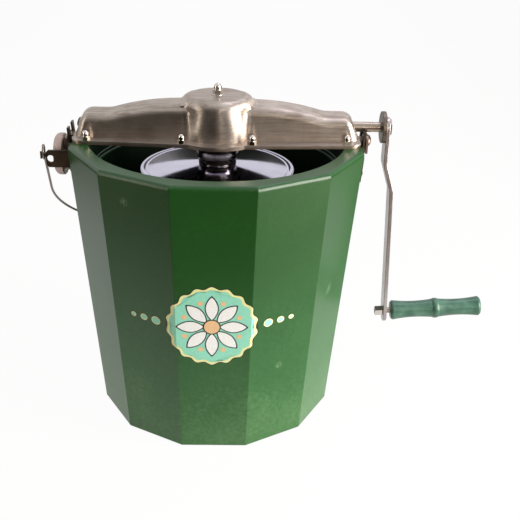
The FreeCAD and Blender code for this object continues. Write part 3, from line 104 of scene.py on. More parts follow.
def mouldedTubPlastic():
    # moulded polyethylene: satin skin, cloudy colour where it cooled unevenly, fine orange peel, small
    # scuffs, painted shade on the inside and a painted floor reflection low down
    material, tree, shader = newMaterial("mouldedGreenPolyethylene")
    place = addNode(tree, "ShaderNodeTexCoord")
    cloud = addNode(tree, "ShaderNodeTexNoise", {"Vector": (place, "Object"),
                    "Scale": 1000 / tubLook["cloudMm"], "Detail": 2.0, "Roughness": 0.45})
    gentle = addNode(tree, "ShaderNodeMapRange", {"Value": (cloud, "Fac"), "To Min": tubLook["cloudShare"][0],
                     "To Max": tubLook["cloudShare"][1]})
    mottle = addNode(tree, "ShaderNodeTexNoise", {"Vector": (place, "Object"),
                     "Scale": 1000 / tubLook["mottleMm"], "Detail": 5.0, "Roughness": 0.65})
    parts = addNode(tree, "ShaderNodeSeparateXYZ", {"Vector": (place, "Object")})
    # painted reflection of the bright floor: the colour pales and greys towards the foot
    drop = addNode(tree, "ShaderNodeMapRange", {"Value": (parts, "Z"),
                   "From Min": tubLook["floorSheenHeights"][0], "From Max": tubLook["floorSheenHeights"][1],
                   "To Min": tubLook["floorSheen"][0], "To Max": tubLook["floorSheen"][1]})
    sums = addNode(tree, "ShaderNodeMath", {0: (gentle, "Result"), 1: (drop, "Result")}, operation="ADD")
    fine = addNode(tree, "ShaderNodeMapRange", {"Value": (mottle, "Fac"), "To Min": -tubLook["mottleShare"],
                   "To Max": tubLook["mottleShare"]})
    level = addNode(tree, "ShaderNodeMath", {0: (sums, "Value"), 1: (fine, "Result")}, operation="ADD")
    # the top stop, dustAndSheen, is reached low down, where the painted floor reflection is strongest
    shade = addNode(tree, "ShaderNodeValToRGB", {"Fac": (level, "Value")},
                    [(0.28, tubLook["deep"]), (0.50, tubLook["mid"]), (0.72, tubLook["pale"]),
                     (0.92, tubLook["dustAndSheen"])])
    # painted shade: faces that look in towards the axis are darkened to stand in for the shade inside the tub
    facing = addNode(tree, "ShaderNodeNewGeometry")
    flat = addNode(tree, "ShaderNodeVectorMath", {0: (place, "Object"), 1: (1, 1, 0)}, operation="MULTIPLY")
    outward = addNode(tree, "ShaderNodeVectorMath", {0: (flat, "Vector"), 1: (facing, "True Normal")},
                      operation="DOT_PRODUCT")
    inside = addNode(tree, "ShaderNodeMapRange", {"Value": (outward, "Value"), "From Min": -0.05,
                     "From Max": -0.10, "To Max": 1.0})
    kept = addNode(tree, "ShaderNodeMix", {"Factor": (inside, "Result"), 6: (shade, "Color"),
                   7: hexToLinear(tubLook["insideShade"])}, data_type="RGBA")
    color = (kept, 2)
    smear = addNode(tree, "ShaderNodeTexNoise", {"Vector": (place, "Object"),
                    "Scale": 1000 / tubLook["smearMm"], "Detail": 3.0, "Roughness": 0.7})
    for where, reach in tubLook["scuffs"]:
        offset = addNode(tree, "ShaderNodeVectorMath", {0: (place, "Object"),
                         1: tuple(v * mm for v in where)}, operation="DISTANCE")
        near = addNode(tree, "ShaderNodeMapRange", {"Value": (offset, "Value"), "From Min": reach * mm,
                       "From Max": reach * mm * 0.2})
        patchy = addNode(tree, "ShaderNodeMapRange", {"Value": (smear, "Fac"), "From Min": 0.44,
                         "From Max": 0.62, "To Max": tubLook["smearShare"]})
        mask = addNode(tree, "ShaderNodeMath", {0: (near, "Result"), 1: (patchy, "Result")},
                       operation="MULTIPLY")
        worn = addNode(tree, "ShaderNodeMix", {"Factor": (mask, "Value"), 6: color,
                       7: hexToLinear(tubLook["scuff"])}, data_type="RGBA")
        color = (worn, 2)
    polish = addNode(tree, "ShaderNodeMapRange", {"Value": (mottle, "Fac"), "From Min": 0.2, "From Max": 0.8,
                     "To Min": tubLook["roughness"][0], "To Max": tubLook["roughness"][1]})
    grain = addNode(tree, "ShaderNodeTexNoise", {"Vector": (place, "Object"),
                    "Scale": 1000 / tubLook["grainMm"], "Detail": 2.0})
    bump = addNode(tree, "ShaderNodeBump", {"Height": (grain, "Fac"), "Strength": tubLook["bumpStrength"],
                   "Distance": tubLook["bumpMm"] * mm})
    feed(tree, shader, Base_Color=color, Roughness=(polish, "Result"), Normal=(bump, "Normal"))
    shader.inputs["IOR"].default_value = tubLook["ior"]
    return material


handlingMm = 30.0               # size of the dull clouds that handling leaves on metal


def workedMetal(name, color, dark, roughness, grainMm, stretch, tint, brushed=0.0, around="X",
                depthMm=0.004, streak=0.0):
    # a metal with the fine marks of its last working, grainMm apart and drawn out along one axis by stretch;
    # brushed spreads its highlights across the marks, which run along the axis named in around;
    # streak is how much darker the deepest marks look
    material, tree, shader = newMaterial(name)
    place = addNode(tree, "ShaderNodeTexCoord")
    drawn = addNode(tree, "ShaderNodeMapping", {"Vector": (place, "Object"), "Scale": stretch})
    marks = addNode(tree, "ShaderNodeTexNoise", {"Vector": (drawn, "Vector"), "Scale": 1000 / grainMm,
                    "Detail": 3.0, "Roughness": 0.6})
    handling = addNode(tree, "ShaderNodeTexNoise", {"Vector": (place, "Object"),
                       "Scale": 1000 / handlingMm, "Detail": 4.0, "Roughness": 0.6})
    cloud = addNode(tree, "ShaderNodeMapRange", {"Value": (handling, "Fac"), "From Min": 0.35,
                    "From Max": 0.65, "To Max": tint})
    lines = addNode(tree, "ShaderNodeMapRange", {"Value": (marks, "Fac"), "From Min": 0.35, "From Max": 0.65,
                    "To Min": -streak, "To Max": streak})
    share = addNode(tree, "ShaderNodeMath", {0: (cloud, "Result"), 1: (lines, "Result")}, operation="ADD",
                    use_clamp=True)
    blend = addNode(tree, "ShaderNodeMix", {"Factor": (share, "Value"), 6: hexToLinear(color),
                    7: hexToLinear(dark)}, data_type="RGBA")
    sheen = addNode(tree, "ShaderNodeMapRange", {"Value": (marks, "Fac"), "From Min": 0.3, "From Max": 0.7,
                    "To Min": roughness * 0.85, "To Max": roughness * 1.2})
    bump = addNode(tree, "ShaderNodeBump", {"Height": (marks, "Fac"), "Strength": 1.0,
                   "Distance": depthMm * mm})
    feed(tree, shader, Base_Color=(blend, 2), Roughness=(sheen, "Result"), Normal=(bump, "Normal"))
    shader.inputs["Metallic"].default_value = 1.0
    if brushed:
        across = addNode(tree, "ShaderNodeTangent", direction_type="RADIAL", axis=around)
        feed(tree, shader, Tangent=(across, "Tangent"))
        shader.inputs["Anisotropic"].default_value = brushed
    return material


undersideLook = {"color": "#2a2521", "roughness": 0.6}


def darkUnderside(material):
    # painted shade: the plate's down-facing side is made dark and dull, standing in for the shade under it
    tree = material.node_tree
    shader = [node for node in tree.nodes if node.type == "BSDF_PRINCIPLED"][0]
    facing = addNode(tree, "ShaderNodeNewGeometry")
    parts = addNode(tree, "ShaderNodeSeparateXYZ", {"Vector": (facing, "True Normal")})
    under = addNode(tree, "ShaderNodeMath", {0: (parts, "Z"), 1: -0.5}, operation="LESS_THAN")
    # a mix node's first input, second input and result have other numbers for colours than for plain values
    for name, value, kind, first, second, result in (
            ("Base Color", hexToLinear(undersideLook["color"]), "RGBA", 6, 7, 2),
            ("Roughness", undersideLook["roughness"], "FLOAT", 2, 3, 0)):
        brushed = shader.inputs[name].links[0].from_socket
        mix = addNode(tree, "ShaderNodeMix", {"Factor": (under, "Value")}, data_type=kind)
        tree.links.new(brushed, mix.inputs[first])
        mix.inputs[second].default_value = value
        tree.links.new(mix.outputs[result], shader.inputs[name])


ironLook = {"sandMm": 1.2, "dark": "#16130f", "pale": "#3a342e", "bumpMm": 0.1, "bumpStrength": 0.5,
            "metallic": 0.8, "roughness": 0.38}


def castIron():
    # black iron as cast: coarse sand skin, dull, with a little polish
    material, tree, shader = newMaterial("blackCastIron")
    place = addNode(tree, "ShaderNodeTexCoord")
    sand = addNode(tree, "ShaderNodeTexNoise", {"Vector": (place, "Object"),
                   "Scale": 1000 / ironLook["sandMm"], "Detail": 4.0})
    shade = addNode(tree, "ShaderNodeValToRGB", {"Fac": (sand, "Fac")},
                    [(0.35, ironLook["dark"]), (0.75, ironLook["pale"])])
    bump = addNode(tree, "ShaderNodeBump", {"Height": (sand, "Fac"), "Strength": ironLook["bumpStrength"],
                   "Distance": ironLook["bumpMm"] * mm})
    feed(tree, shader, Base_Color=(shade, "Color"), Normal=(bump, "Normal"))
    shader.inputs["Metallic"].default_value = ironLook["metallic"]
    shader.inputs["Roughness"].default_value = ironLook["roughness"]
    return material


gripLook = {
    "dark": "#264a3c", "mid": "#345b4b", "pale": "#486d5c", "cloudMm": 14.0,
    "ringMm": 3.157, "ringBumpMm": 0.03, "ringStrength": 0.4, "roughness": (0.22, 0.42), "ior": 1.52,
}


def enamelledGrip():
    # turned hardwood under a green enamel: glossy, with faint turning rings and rubbed places
    material, tree, shader = newMaterial("greenEnamelledWood")
    place = addNode(tree, "ShaderNodeTexCoord")
    cloud = addNode(tree, "ShaderNodeTexNoise", {"Vector": (place, "Object"),
                    "Scale": 1000 / gripLook["cloudMm"], "Detail": 4.0})
    shade = addNode(tree, "ShaderNodeValToRGB", {"Fac": (cloud, "Fac")},
                    [(0.3, gripLook["dark"]), (0.52, gripLook["mid"]), (0.75, gripLook["pale"])])
    # at scale 1 a wave texture repeats every 2 pi / 20
    rings = addNode(tree, "ShaderNodeTexWave", {"Vector": (place, "Object"),
                    "Scale": 1000 * math.pi / 10 / gripLook["ringMm"], "Distortion": 1.0, "Detail": 1.0},
                    bands_direction="X")
    bump = addNode(tree, "ShaderNodeBump", {"Height": (rings, "Fac"), "Strength": gripLook["ringStrength"],
                   "Distance": gripLook["ringBumpMm"] * mm})
    polish = addNode(tree, "ShaderNodeMapRange", {"Value": (cloud, "Fac"),
                     "To Min": gripLook["roughness"][0], "To Max": gripLook["roughness"][1]})
    feed(tree, shader, Base_Color=(shade, "Color"), Normal=(bump, "Normal"), Roughness=(polish, "Result"))
    shader.inputs["IOR"].default_value = gripLook["ior"]
    return material


woodLook = {"dark": "#b98d5e", "pale": "#d6b07e", "fleckMm": 2.0, "drawn": 0.08, "roughness": 0.55}


def plainWood():
    # beech: pale, with short darker flecks along the grain
    material, tree, shader = newMaterial("planedBeech")
    place = addNode(tree, "ShaderNodeTexCoord")
    drawn = addNode(tree, "ShaderNodeMapping", {"Vector": (place, "Object"),
                    "Scale": (1.0, 1.0, woodLook["drawn"])})
    fleck = addNode(tree, "ShaderNodeTexNoise", {"Vector": (drawn, "Vector"),
                    "Scale": 1000 / woodLook["fleckMm"], "Detail": 5.0})
    shade = addNode(tree, "ShaderNodeValToRGB", {"Fac": (fleck, "Fac")},
                    [(0.3, woodLook["dark"]), (0.7, woodLook["pale"])])
    feed(tree, shader, Base_Color=(shade, "Color"))
    shader.inputs["Roughness"].default_value = woodLook["roughness"]
    return material


plasticLook = {"hazeMm": 3.0, "roughnessSpread": 0.06}


def mouldedPlastic(name, color, worn, roughness):
    # small moulded plastic piece: a faint haze in its colour and its gloss
    material, tree, shader = newMaterial(name)
    place = addNode(tree, "ShaderNodeTexCoord")
    haze = addNode(tree, "ShaderNodeTexNoise", {"Vector": (place, "Object"),
                   "Scale": 1000 / plasticLook["hazeMm"]})
    shade = addNode(tree, "ShaderNodeValToRGB", {"Fac": (haze, "Fac")}, [(0.35, color), (0.75, worn)])
    polish = addNode(tree, "ShaderNodeMapRange", {"Value": (haze, "Fac"),
                     "To Min": roughness - plasticLook["roughnessSpread"],
                     "To Max": roughness + plasticLook["roughnessSpread"]})
    feed(tree, shader, Base_Color=(shade, "Color"), Roughness=(polish, "Result"))
    return material


# how marks are drawn out: along the wings, upright, along the wire, or hardly along a turned shaft
along, upright, onWire, turned, even = (0.04, 1, 1), (1, 1, 0.06), (0.2, 1, 1), (1, 0.3, 0.3), (1, 1, 1)
metalLooks = {
    # pressed stainless, brushed along the wings, so highlights run upright; the real marks are finer than the
    # render can show, so they are drawn 2.6 mm apart
    "cover_steel": dict(name="brushedStainlessCover", color="#b2a79e", dark="#7b6e64", roughness=0.38,
                        grainMm=2.6, stretch=along, tint=0.5, brushed=0.8, streak=0.3),
    # the same sheet, less brushed and a little browner
    "plate_steel": dict(name="brushedStainlessPlate", color="#97887b", dark="#75665a", roughness=0.38,
                        grainMm=1.3, stretch=along, tint=0.6, brushed=0.5),
    # plain strap steel that has gone dull and brown
    "bracket_steel": dict(name="dullSteelStrap", color="#62574d", dark="#3b342c", roughness=0.38,
                          grainMm=1.5, stretch=upright, tint=0.7),
    # plated flat bar, drawn lengthwise: pale and satin
    "arm_steel": dict(name="flatSteelBar", color="#b6b0b1", dark="#8f8783", roughness=0.33,
                      grainMm=1.5, stretch=upright, tint=0.6),
    # lathe-turned bar: a soft line of light along it
    "shaft_steel": dict(name="turnedSteel", color="#a2968a", dark="#7d7064", roughness=0.30,
                        grainMm=1.0, stretch=turned, tint=0.5),
    # drawn wire: darker, with thin highlights
    "wire_steel": dict(name="drawnSteelWire", color="#857c74", dark="#574f48", roughness=0.33,
                       grainMm=1.0, stretch=onWire, tint=0.5),
    # nickel plate: almost a mirror
    "bright_steel": dict(name="polishedNickelPlate", color="#cdc6c0", dark="#a99f98", roughness=0.12,
                         grainMm=3.0, stretch=even, tint=0.3),
    # spun and polished aluminium: a cool mirror, slightly blurred
    "lid_steel": dict(name="polishedAluminiumLid", color="#c3bfd2", dark="#aba7b9", roughness=0.09,
                      grainMm=2.0, stretch=even, tint=0.4, depthMm=0.002),
    # rolled sheet: pale, with a soft sheen
    "can_steel": dict(name="rolledStainlessCan", color="#b9b6b4", dark="#a19c99", roughness=0.25,
                      grainMm=1.5, stretch=upright, tint=0.4),
    # tumbled zinc casting: matt, pinkish grey and slightly pitted
    "cast_metal": dict(name="tumbledCastZinc", color="#b3a099", dark="#8d7b73", roughness=0.45,
                       grainMm=2.5, stretch=even, tint=0.9, depthMm=0.02),
    # sand-cast aluminium: pale and rough
    "dasher_aluminium": dict(name="castAluminium", color="#c6c6c6", dark="#a5a5a5", roughness=0.45,
                             grainMm=1.5, stretch=even, tint=0.8, depthMm=0.03),
}
looks = {slot: workedMetal(**settings) for slot, settings in metalLooks.items()}
darkUnderside(looks["plate_steel"])
looks.update({
    "tub_plastic": mouldedTubPlastic(),
    "bearing_plastic": mouldedPlastic("whiteAcetal", "#d8d6cf", "#c6c2b6", 0.4),
    "black_plastic": mouldedPlastic("blackNylon", "#17181a", "#26272a", 0.45),
    "cast_iron": castIron(),
    "blade_wood": plainWood(),
    "grip_wood": enamelledGrip(),
})
# the disc is pressed from sheet like the plate, but it is pickled, which leaves it darker
nodeLooks = {"crank_disc": workedMetal("pickledSteelDisc", "#70665d", "#4f463f", 0.4, 1.5, upright, 0.7)}
slotOf = {part["node"]: part["material_slot"] for part in frame["record"]["subparts"]}
for name, item in nodes.items():
    item.data.materials.clear()
    item.data.materials.append(nodeLooks.get(name) or looks[slotOf[name]])
print("stage: materials on the nodes")

# Lid and the ridges inside the tub

lidLook = {
    "edge": 324.0,                  # height of the lid's edge, mm
    # the upper side, radius and height from the edge: column, cone, ridge, land and rolled bead
    "upper": [(22.1, 8.0), (24.5, 8.0), (26.0, 7.7), (58.0, 4.15), (89.0, 0.6), (90.2, 0.6), (91.2, 1.3),
              (92.2, 0.6), (96.0, 0.3), (96.8, 0.6), (97.6, 0.95), (98.4, 0.6), (98.85, -0.4), (98.9, -2.0)],
    "lower": [(98.9, -12.0), (96.4, -12.0), (96.4, -2.5), (50.0, -0.6), (45.0, 1.5), (22.1, 1.5)],
    "turns": 128,
}


def turnedRing(name, profile, turns, smoothUpTo=None):
    # a closed profile of (radius, height) in mm, turned round the upright axis
    shape = bmesh.new()
    rows = []
    for k in range(turns):
        angle = 2 * math.pi * k / turns
        rows.append([shape.verts.new((r * mm * math.cos(angle), r * mm * math.sin(angle), z * mm))
                     for r, z in profile])
    for k in range(turns):
        here, there = rows[k], rows[(k + 1) % turns]
        for i in range(len(profile)):
            j = (i + 1) % len(profile)
            face = shape.faces.new((here[i], here[j], there[j], there[i]))
            face.smooth = smoothUpTo is None or i < smoothUpTo
    bmesh.ops.recalc_face_normals(shape, faces=shape.faces[:])
    mesh = bpy.data.meshes.new(name)
    shape.to_mesh(mesh)
    shape.free()
    piece = bpy.data.objects.new(name, mesh)
    bpy.context.scene.collection.objects.link(piece)
    return piece


def addLid():
    # a spun lid: a shallow cone with a ridge and a rolled edge
    profile = [(r, z + lidLook["edge"]) for r, z in lidLook["upper"] + lidLook["lower"]]
    lid = turnedRing("spunLid", profile, lidLook["turns"], len(lidLook["upper"]) - 1)
    lid.data.materials.append(looks["lid_steel"])
    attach(lid, "lid")
    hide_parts("can_lid")


# radius at the lower ridge, its growth per mm of height, and how far they stand out of the wall and into it
# the ridges' colours are a painted highlight, paler than the tub
tubLinesLook = {"heights": (324.6, 329.5), "radius": 157.5, "growth": 0.05, "proudMm": 0.7, "sunkMm": 0.6,
                "turns": 192, "color": "#5d7163", "worn": "#7d8f82", "roughness": 0.35}


def addTubLines():
    # two fine ridges that the mould's joint leaves round the inside
    color, worn, roughness = (tubLinesLook[key] for key in ("color", "worn", "roughness"))
    # painted highlight: the ridges get a paler green than the tub around them
    rubbed = mouldedPlastic("greenRidgePaintedHighlight", color, worn, roughness)
    lowest, proud = tubLinesLook["heights"][0], tubLinesLook["proudMm"]
    for k, height in enumerate(tubLinesLook["heights"]):
        radius = tubLinesLook["radius"] + tubLinesLook["growth"] * (height - lowest)
        back = radius + tubLinesLook["sunkMm"]
        profile = [(back, height - proud), (radius - proud * 0.5, height - proud * 0.5),
                   (radius - proud, height), (radius - proud * 0.5, height + proud * 0.5),
                   (back, height + proud)]
        line = turnedRing("tubInnerRidge%d" % k, profile, tubLinesLook["turns"])
        line.data.materials.append(rubbed)
        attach(line, "tub")


addLid()
addTubLines()
print("stage: lid and inner ridges")

# Label on the front

labelLook = {
    "middle": (-2.0, 184.0),        # x and z of its centre, mm
    "outer": 56.0, "edge": 1.2, "trim": 3.6, "lobes": 18, "lobeDeep": 3.4,
    "liftMm": 0.15, "layerMm": 0.12,
    # petals and beads, sizes in mm: (near end, far end, half width) and (distance, radius)
    "petals": 8, "petalEdge": (8.0, 43.0, 8.4), "petal": (10.0, 40.8, 7.0), "bead": (35.0, 3.2),
    "eyeEdge": 10.6, "eye": 9.2,
    # dots beside it: distance from the middle, radius
    "dots": ((67.0, 6.4), (82.0, 5.2), (95.0, 4.0)), "dotEdge": 0.8, "dotTrim": 1.1,
    "mint": "#8ed8c1", "cream": "#e4e6a6", "white": "#eceff1", "ink": "#1d2620", "peach": "#e3bd90",
    "grainMm": 1.8, "fading": (0.9, 1.04), "roughness": 0.35, "ior": 1.53,
}
tubForm = {"sides": 12, "baseFlats": 304.6, "topFlats": 361.2, "height": 364.0}


def tubReach(z):
    # from the tub's axis to a facet at this height, in mm
    return tubForm["baseFlats"] / 2 + (tubForm["topFlats"] - tubForm["baseFlats"]) / 2 * z / tubForm["height"]


def tubFaceY(x, z):
    # the front of the tub at this x and z, in mm: the outermost of the five front facets
    depths = []
    for k in (-2, -1, 0, 1, 2):
        angle = math.radians(360 / tubForm["sides"] * k)
        depths.append((x * math.sin(angle) - tubReach(z)) / math.cos(angle))
    return max(depths)


def printedVinyl(name, color):
    # thin printed vinyl: even ink with a faint print grain under a satin film
    material, tree, shader = newMaterial(name)
    place = addNode(tree, "ShaderNodeTexCoord")
    grain = addNode(tree, "ShaderNodeTexNoise", {"Vector": (place, "Object"),
                    "Scale": 1000 / labelLook["grainMm"], "Detail": 3.0})
    shade = addNode(tree, "ShaderNodeHueSaturation", {"Color": hexToLinear(color)})
    faded = addNode(tree, "ShaderNodeMapRange", {"Value": (grain, "Fac"), "From Min": 0.3, "From Max": 0.7,
                    "To Min": labelLook["fading"][0], "To Max": labelLook["fading"][1]})
    tree.links.new(faded.outputs["Result"], shade.inputs["Value"])
    feed(tree, shader, Base_Color=(shade, "Color"))
    shader.inputs["Roughness"].default_value = labelLook["roughness"]
    shader.inputs["IOR"].default_value = labelLook["ior"]
    return material


def drapedShape(name, outline, material, layer):
    # a flat outline of (x, z) points in mm, cut where the tub's facets meet and laid on them
    shape = bmesh.new()
    shape.faces.new([shape.verts.new((x, 0, z)) for x, z in outline])
    bmesh.ops.triangulate(shape, faces=shape.faces[:])
    heights = (min(z for x, z in outline), max(z for x, z in outline))
    for side in (-1, 1):
        ends = [Vector((side * tubReach(z) * math.tan(math.pi / tubForm["sides"]), 0, z)) for z in heights]
        across = (ends[1] - ends[0]).cross(Vector((0, 1, 0))).normalized()
        geometry = shape.verts[:] + shape.edges[:] + shape.faces[:]
        bmesh.ops.bisect_plane(shape, geom=geometry, plane_co=ends[0], plane_no=across, dist=1e-5)
    lift = labelLook["liftMm"] + layer * labelLook["layerMm"]
    for vert in shape.verts:
        vert.co.y = tubFaceY(vert.co.x, vert.co.z) - lift
        vert.co *= mm
    for face in shape.faces:
        face.normal_update()
        if face.normal.y > 0:
            face.normal_flip()
    mesh = bpy.data.meshes.new(name)
    shape.to_mesh(mesh)
    shape.free()
    mesh.materials.append(material)
    piece = bpy.data.objects.new(name, mesh)
    bpy.context.scene.collection.objects.link(piece)
    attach(piece, "tub")
    return piece


def lobedRing(radius, deep, lobes, count=192):
    # a round outline with shallow waves
    cx, cz = labelLook["middle"]
    points = []
    for k in range(count):
        angle = 2 * math.pi * k / count
        reach = radius - deep / 2 + deep / 2 * math.cos(lobes * angle)
        points.append((cx + reach * math.sin(angle), cz + reach * math.cos(angle)))
    return points


def petal(angle, near, far, half):
    # a pointed leaf that stands out from the middle
    cx, cz = labelLook["middle"]
    out = Vector((math.sin(angle), math.cos(angle)))
    side = Vector((out.y, -out.x))
    steps, fullness = 24, 0.8
    points = []
    for way, row in ((1, range(steps + 1)), (-1, range(steps - 1, 0, -1))):
        for k in row:
            share = k / steps
            bulge = way * half * math.sin(math.pi * share) ** fullness
            points.append(out * (near + (far - near) * share) + side * bulge)
    return [(cx + point.x, cz + point.y) for point in points]


def dot(x, z, radius):
    cx, cz = labelLook["middle"]
    angles = [2 * math.pi * k / 32 for k in range(32)]
    return [(cx + x + radius * math.sin(angle), cz + z + radius * math.cos(angle)) for angle in angles]


def addLabel():
    inks = {name: printedVinyl(name + "PrintedVinyl", labelLook[name])
            for name in ("mint", "cream", "white", "ink", "peach")}
    outer, deep, lobes = (labelLook[key] for key in ("outer", "lobeDeep", "lobes"))
    inner = outer - labelLook["edge"]
    drapedShape("labelEdge", lobedRing(outer, deep, lobes), inks["ink"], 0)
    drapedShape("labelTrim", lobedRing(inner, deep, lobes), inks["cream"], 1)
    drapedShape("labelField", lobedRing(inner - labelLook["trim"], deep, lobes), inks["mint"], 2)
    beadOut, beadRadius = labelLook["bead"]
    for k in range(labelLook["petals"]):
        angle = 2 * math.pi / labelLook["petals"] * k
        drapedShape("labelPetalEdge%d" % k, petal(angle, *labelLook["petalEdge"]), inks["ink"], 3)
        drapedShape("labelPetal%d" % k, petal(angle, *labelLook["petal"]), inks["white"], 4)
        between = angle + math.pi / labelLook["petals"]
        bead = dot(beadOut * math.sin(between), beadOut * math.cos(between), beadRadius)
        drapedShape("labelBead%d" % k, bead, inks["peach"], 3)
    drapedShape("labelEyeEdge", dot(0, 0, labelLook["eyeEdge"]), inks["ink"], 5)
    drapedShape("labelEye", dot(0, 0, labelLook["eye"]), inks["peach"], 6)
    for side, word in ((-1, "Left"), (1, "Right")):
        for k, (x, radius) in enumerate(labelLook["dots"]):
            name = word + str(k)
            trimmed = radius - labelLook["dotEdge"]
            drapedShape("labelDotEdge" + name, dot(side * x, 0, radius), inks["ink"], 0)
            drapedShape("labelDotTrim" + name, dot(side * x, 0, trimmed), inks["cream"], 1)
            drapedShape("labelDot" + name, dot(side * x, 0, trimmed - labelLook["dotTrim"]), inks["mint"], 2)


addLabel()
print("stage: label on the tub")

# Camera

cameraPlace = {
    "at": (25.05, -1043.15, 687.74), "yaw": 1.80, "pitch": 25.361, "roll": 1.562,
    "lensMm": 59.14, "sensorMm": 36.0,
}


def addCamera():
    yaw, pitch, roll = (math.radians(cameraPlace[key]) for key in ("yaw", "pitch", "roll"))
    forward = Vector((math.sin(yaw) * math.cos(pitch), math.cos(yaw) * math.cos(pitch), -math.sin(pitch)))
    right = Vector((math.cos(yaw), -math.sin(yaw), 0))
    up = right.cross(forward)
    side = right * math.cos(roll) + up * math.sin(roll)
    top = up * math.cos(roll) - right * math.sin(roll)
    data = bpy.data.cameras.new("camera")
    data.lens = cameraPlace["lensMm"]
    data.sensor_width = cameraPlace["sensorMm"]
    camera = bpy.data.objects.new("camera", data)
    turn = Matrix((side, top, -forward)).transposed().to_4x4()
    camera.matrix_world = Matrix.Translation(Vector(cameraPlace["at"]) * mm) @ turn
    bpy.context.scene.collection.objects.link(camera)
    bpy.context.scene.camera = camera


addCamera()

# Light and surroundings

lamps = {
    # name: place (m), aimed at (m), size (m), power (W), colour
    "rightLamp": ((1.12, -0.52, 0.52), (0, 0, 0.2), (0.8, 1.0), 33.0, "#fffaf2"),
    "topLamp": ((0.5, 0.5, 1.9), (0, 0, 0.35), (0.9, 0.6), 6.0, "#eeeaff"),
    "fillLamp": ((0.45, -2.0, 0.75), (0, 0, 0.3), (0.5, 0.7), 4.4, "#fff4e6"),
    "leftLamp": ((-0.95, -0.5, 0.5), (0, 0, 0.35), (0.14, 0.9), 2.2, "#fff4e0"),
}


def addLamp(name, at, aim, size, power, color):
    data = bpy.data.lights.new(name, "AREA")
    data.shape = "RECTANGLE"
    data.size, data.size_y = size
    data.energy = power
    data.color = hexToLinear(color)[:3]
    lamp = bpy.data.objects.new(name, data)
    lamp.location = at
    lamp.rotation_euler = (Vector(aim) - Vector(at)).to_track_quat("-Z", "Y").to_euler()
    lamp.visible_camera = False
    bpy.context.scene.collection.objects.link(lamp)


for name, (at, aim, size, power, color) in lamps.items():
    addLamp(name, at, aim, size, power, color)

backdropLook = {
    "soft": "#f4f3f0", "softStrength": 0.42, "cameraShare": 0.96, "mirrorShare": 0.70,
    # painted pool of light: the pale lit patch ends in front in a wide oval, in m, and the floor goes on in
    # darker beige from there
    "edgeShape": (0.50, -1.0, 0.0), "edgeFrom": 0.27, "edgeTo": 0.50,
    "half": 12.0, "below": 0.0002, "fibreMm": 25.0, "roughness": (0.85, 0.95),
    "paper": "#f1eeea", "unlitGround": "#75655a",
}


def addWorld():
    # plain white where the camera, metal or glass looks; a softer white lights the object
    world = bpy.data.worlds.new("studio")
    bpy.context.scene.world = world
    world.use_nodes = True
    tree = world.node_tree
    tree.nodes.clear()
    soft = addNode(tree, "ShaderNodeBackground", {"Color": hexToLinear(backdropLook["soft"]),
                   "Strength": backdropLook["softStrength"]})
    white = addNode(tree, "ShaderNodeBackground", {"Color": (1, 1, 1, 1), "Strength": 1.0})
    path = addNode(tree, "ShaderNodeLightPath")
    first = addNode(tree, "ShaderNodeMath", {0: (path, "Is Camera Ray"), 1: (path, "Is Glossy Ray")},
                    operation="MAXIMUM")
    seen = addNode(tree, "ShaderNodeMath", {0: (first, "Value"), 1: (path, "Is Transmission Ray")},
                   operation="MAXIMUM")
    mix = addNode(tree, "ShaderNodeMixShader", {0: (seen, "Value"), 1: (soft, "Background"),
                  2: (white, "Background")})
    addNode(tree, "ShaderNodeOutputWorld", {"Surface": (mix, "Shader")})


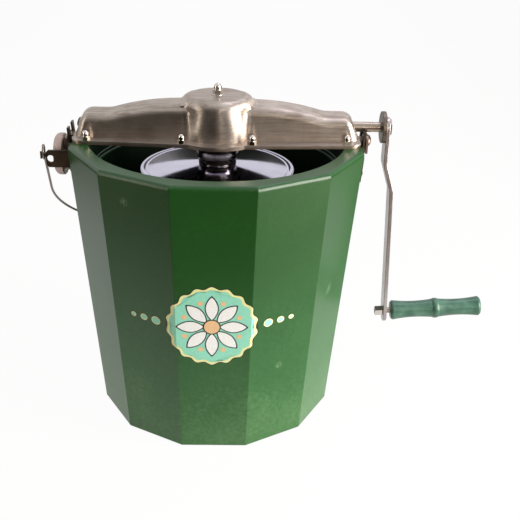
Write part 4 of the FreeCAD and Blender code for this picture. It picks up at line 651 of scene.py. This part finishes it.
def addFloor():
    # pale paper that takes the object's shadow; the camera sees it nearly white
    material, tree, shader = newMaterial("palePaperSweep")
    place = addNode(tree, "ShaderNodeTexCoord")
    scaled = addNode(tree, "ShaderNodeVectorMath", {0: (place, "Object"), 1: backdropLook["edgeShape"]},
                     operation="MULTIPLY")
    # behind the object the painted pool of light has no edge
    ahead = addNode(tree, "ShaderNodeVectorMath", {0: (scaled, "Vector"), 1: (-9.0, 0.0, 0.0)},
                    operation="MAXIMUM")
    out = addNode(tree, "ShaderNodeVectorMath", {0: (ahead, "Vector")}, operation="LENGTH")
    paper = addNode(tree, "ShaderNodeMapRange", {"Value": (out, "Value"),
                    "From Min": backdropLook["edgeFrom"], "From Max": backdropLook["edgeTo"],
                    "To Min": 1.0, "To Max": 0.0}, interpolation_type="SMOOTHSTEP")
    tone = addNode(tree, "ShaderNodeMix", {"Factor": (paper, "Result"),
                   6: hexToLinear(backdropLook["unlitGround"]), 7: hexToLinear(backdropLook["paper"])},
                   data_type="RGBA")
    fibre = addNode(tree, "ShaderNodeTexNoise", {"Vector": (place, "Object"),
                    "Scale": 1000 / backdropLook["fibreMm"], "Detail": 3.0})
    polish = addNode(tree, "ShaderNodeMapRange", {"Value": (fibre, "Fac"),
                     "To Min": backdropLook["roughness"][0], "To Max": backdropLook["roughness"][1]})
    feed(tree, shader, Base_Color=(tone, 2), Roughness=(polish, "Result"))
    white = addNode(tree, "ShaderNodeEmission", {"Color": (1, 1, 1, 1), "Strength": 1.0})
    path = addNode(tree, "ShaderNodeLightPath")
    mirrored = addNode(tree, "ShaderNodeMath", {0: (path, "Is Glossy Ray"), 1: (path, "Is Transmission Ray")},
                       operation="MAXIMUM")
    # painted light: reflections see the floor glow white only inside the pool of light
    onPaper = addNode(tree, "ShaderNodeMath", {0: (mirrored, "Value"), 1: (paper, "Result")},
                      operation="MULTIPLY")
    share = addNode(tree, "ShaderNodeMath", {0: (onPaper, "Value"), 1: backdropLook["mirrorShare"]},
                    operation="MULTIPLY")
    direct = addNode(tree, "ShaderNodeMath", {0: (path, "Is Camera Ray"), 1: backdropLook["cameraShare"]},
                     operation="MULTIPLY")
    amount = addNode(tree, "ShaderNodeMath", {0: (share, "Value"), 1: (direct, "Value")}, operation="MAXIMUM")
    mix = addNode(tree, "ShaderNodeMixShader", {0: (amount, "Value"), 1: (shader, "BSDF"),
                  2: (white, "Emission")})
    output = [node for node in tree.nodes if node.type == "OUTPUT_MATERIAL"][0]
    tree.links.new(mix.outputs["Shader"], output.inputs["Surface"])
    mesh = bpy.data.meshes.new("floor")
    half = backdropLook["half"]
    corners = [(-half, -half, 0), (half, -half, 0), (half, half, 0), (-half, half, 0)]
    mesh.from_pydata(corners, [], [(0, 1, 2, 3)])
    mesh.materials.append(material)
    floor = bpy.data.objects.new("floor", mesh)
    floor.location.z = -backdropLook["below"]
    bpy.context.scene.collection.objects.link(floor)


wallLook = {"dark": "#61554a", "pale": "#75685a", "hazeMm": 1250.0, "roughness": 0.9,
            "corners": [(-3.4, -2.2, 0), (1.0, -2.9, 0), (1.0, -2.9, 2.4), (-3.4, -2.2, 2.4)]}


def addRoomWall():
    # the studio's far wall, behind the camera: only the object's reflections show it
    material, tree, shader = newMaterial("beigeRoomWall")
    place = addNode(tree, "ShaderNodeTexCoord")
    haze = addNode(tree, "ShaderNodeTexNoise", {"Vector": (place, "Object"),
                   "Scale": 1000 / wallLook["hazeMm"]})
    shade = addNode(tree, "ShaderNodeValToRGB", {"Fac": (haze, "Fac")},
                    [(0.3, wallLook["dark"]), (0.7, wallLook["pale"])])
    feed(tree, shader, Base_Color=(shade, "Color"))
    shader.inputs["Roughness"].default_value = wallLook["roughness"]
    mesh = bpy.data.meshes.new("roomWall")
    mesh.from_pydata(wallLook["corners"], [], [(0, 1, 2, 3)])
    mesh.materials.append(material)
    wall = bpy.data.objects.new("roomWall", mesh)
    wall.visible_camera = False
    bpy.context.scene.collection.objects.link(wall)


addWorld()
addFloor()
addRoomWall()
bpy.context.scene.view_settings.view_transform = "Standard"
print("stage: camera, light and floor")
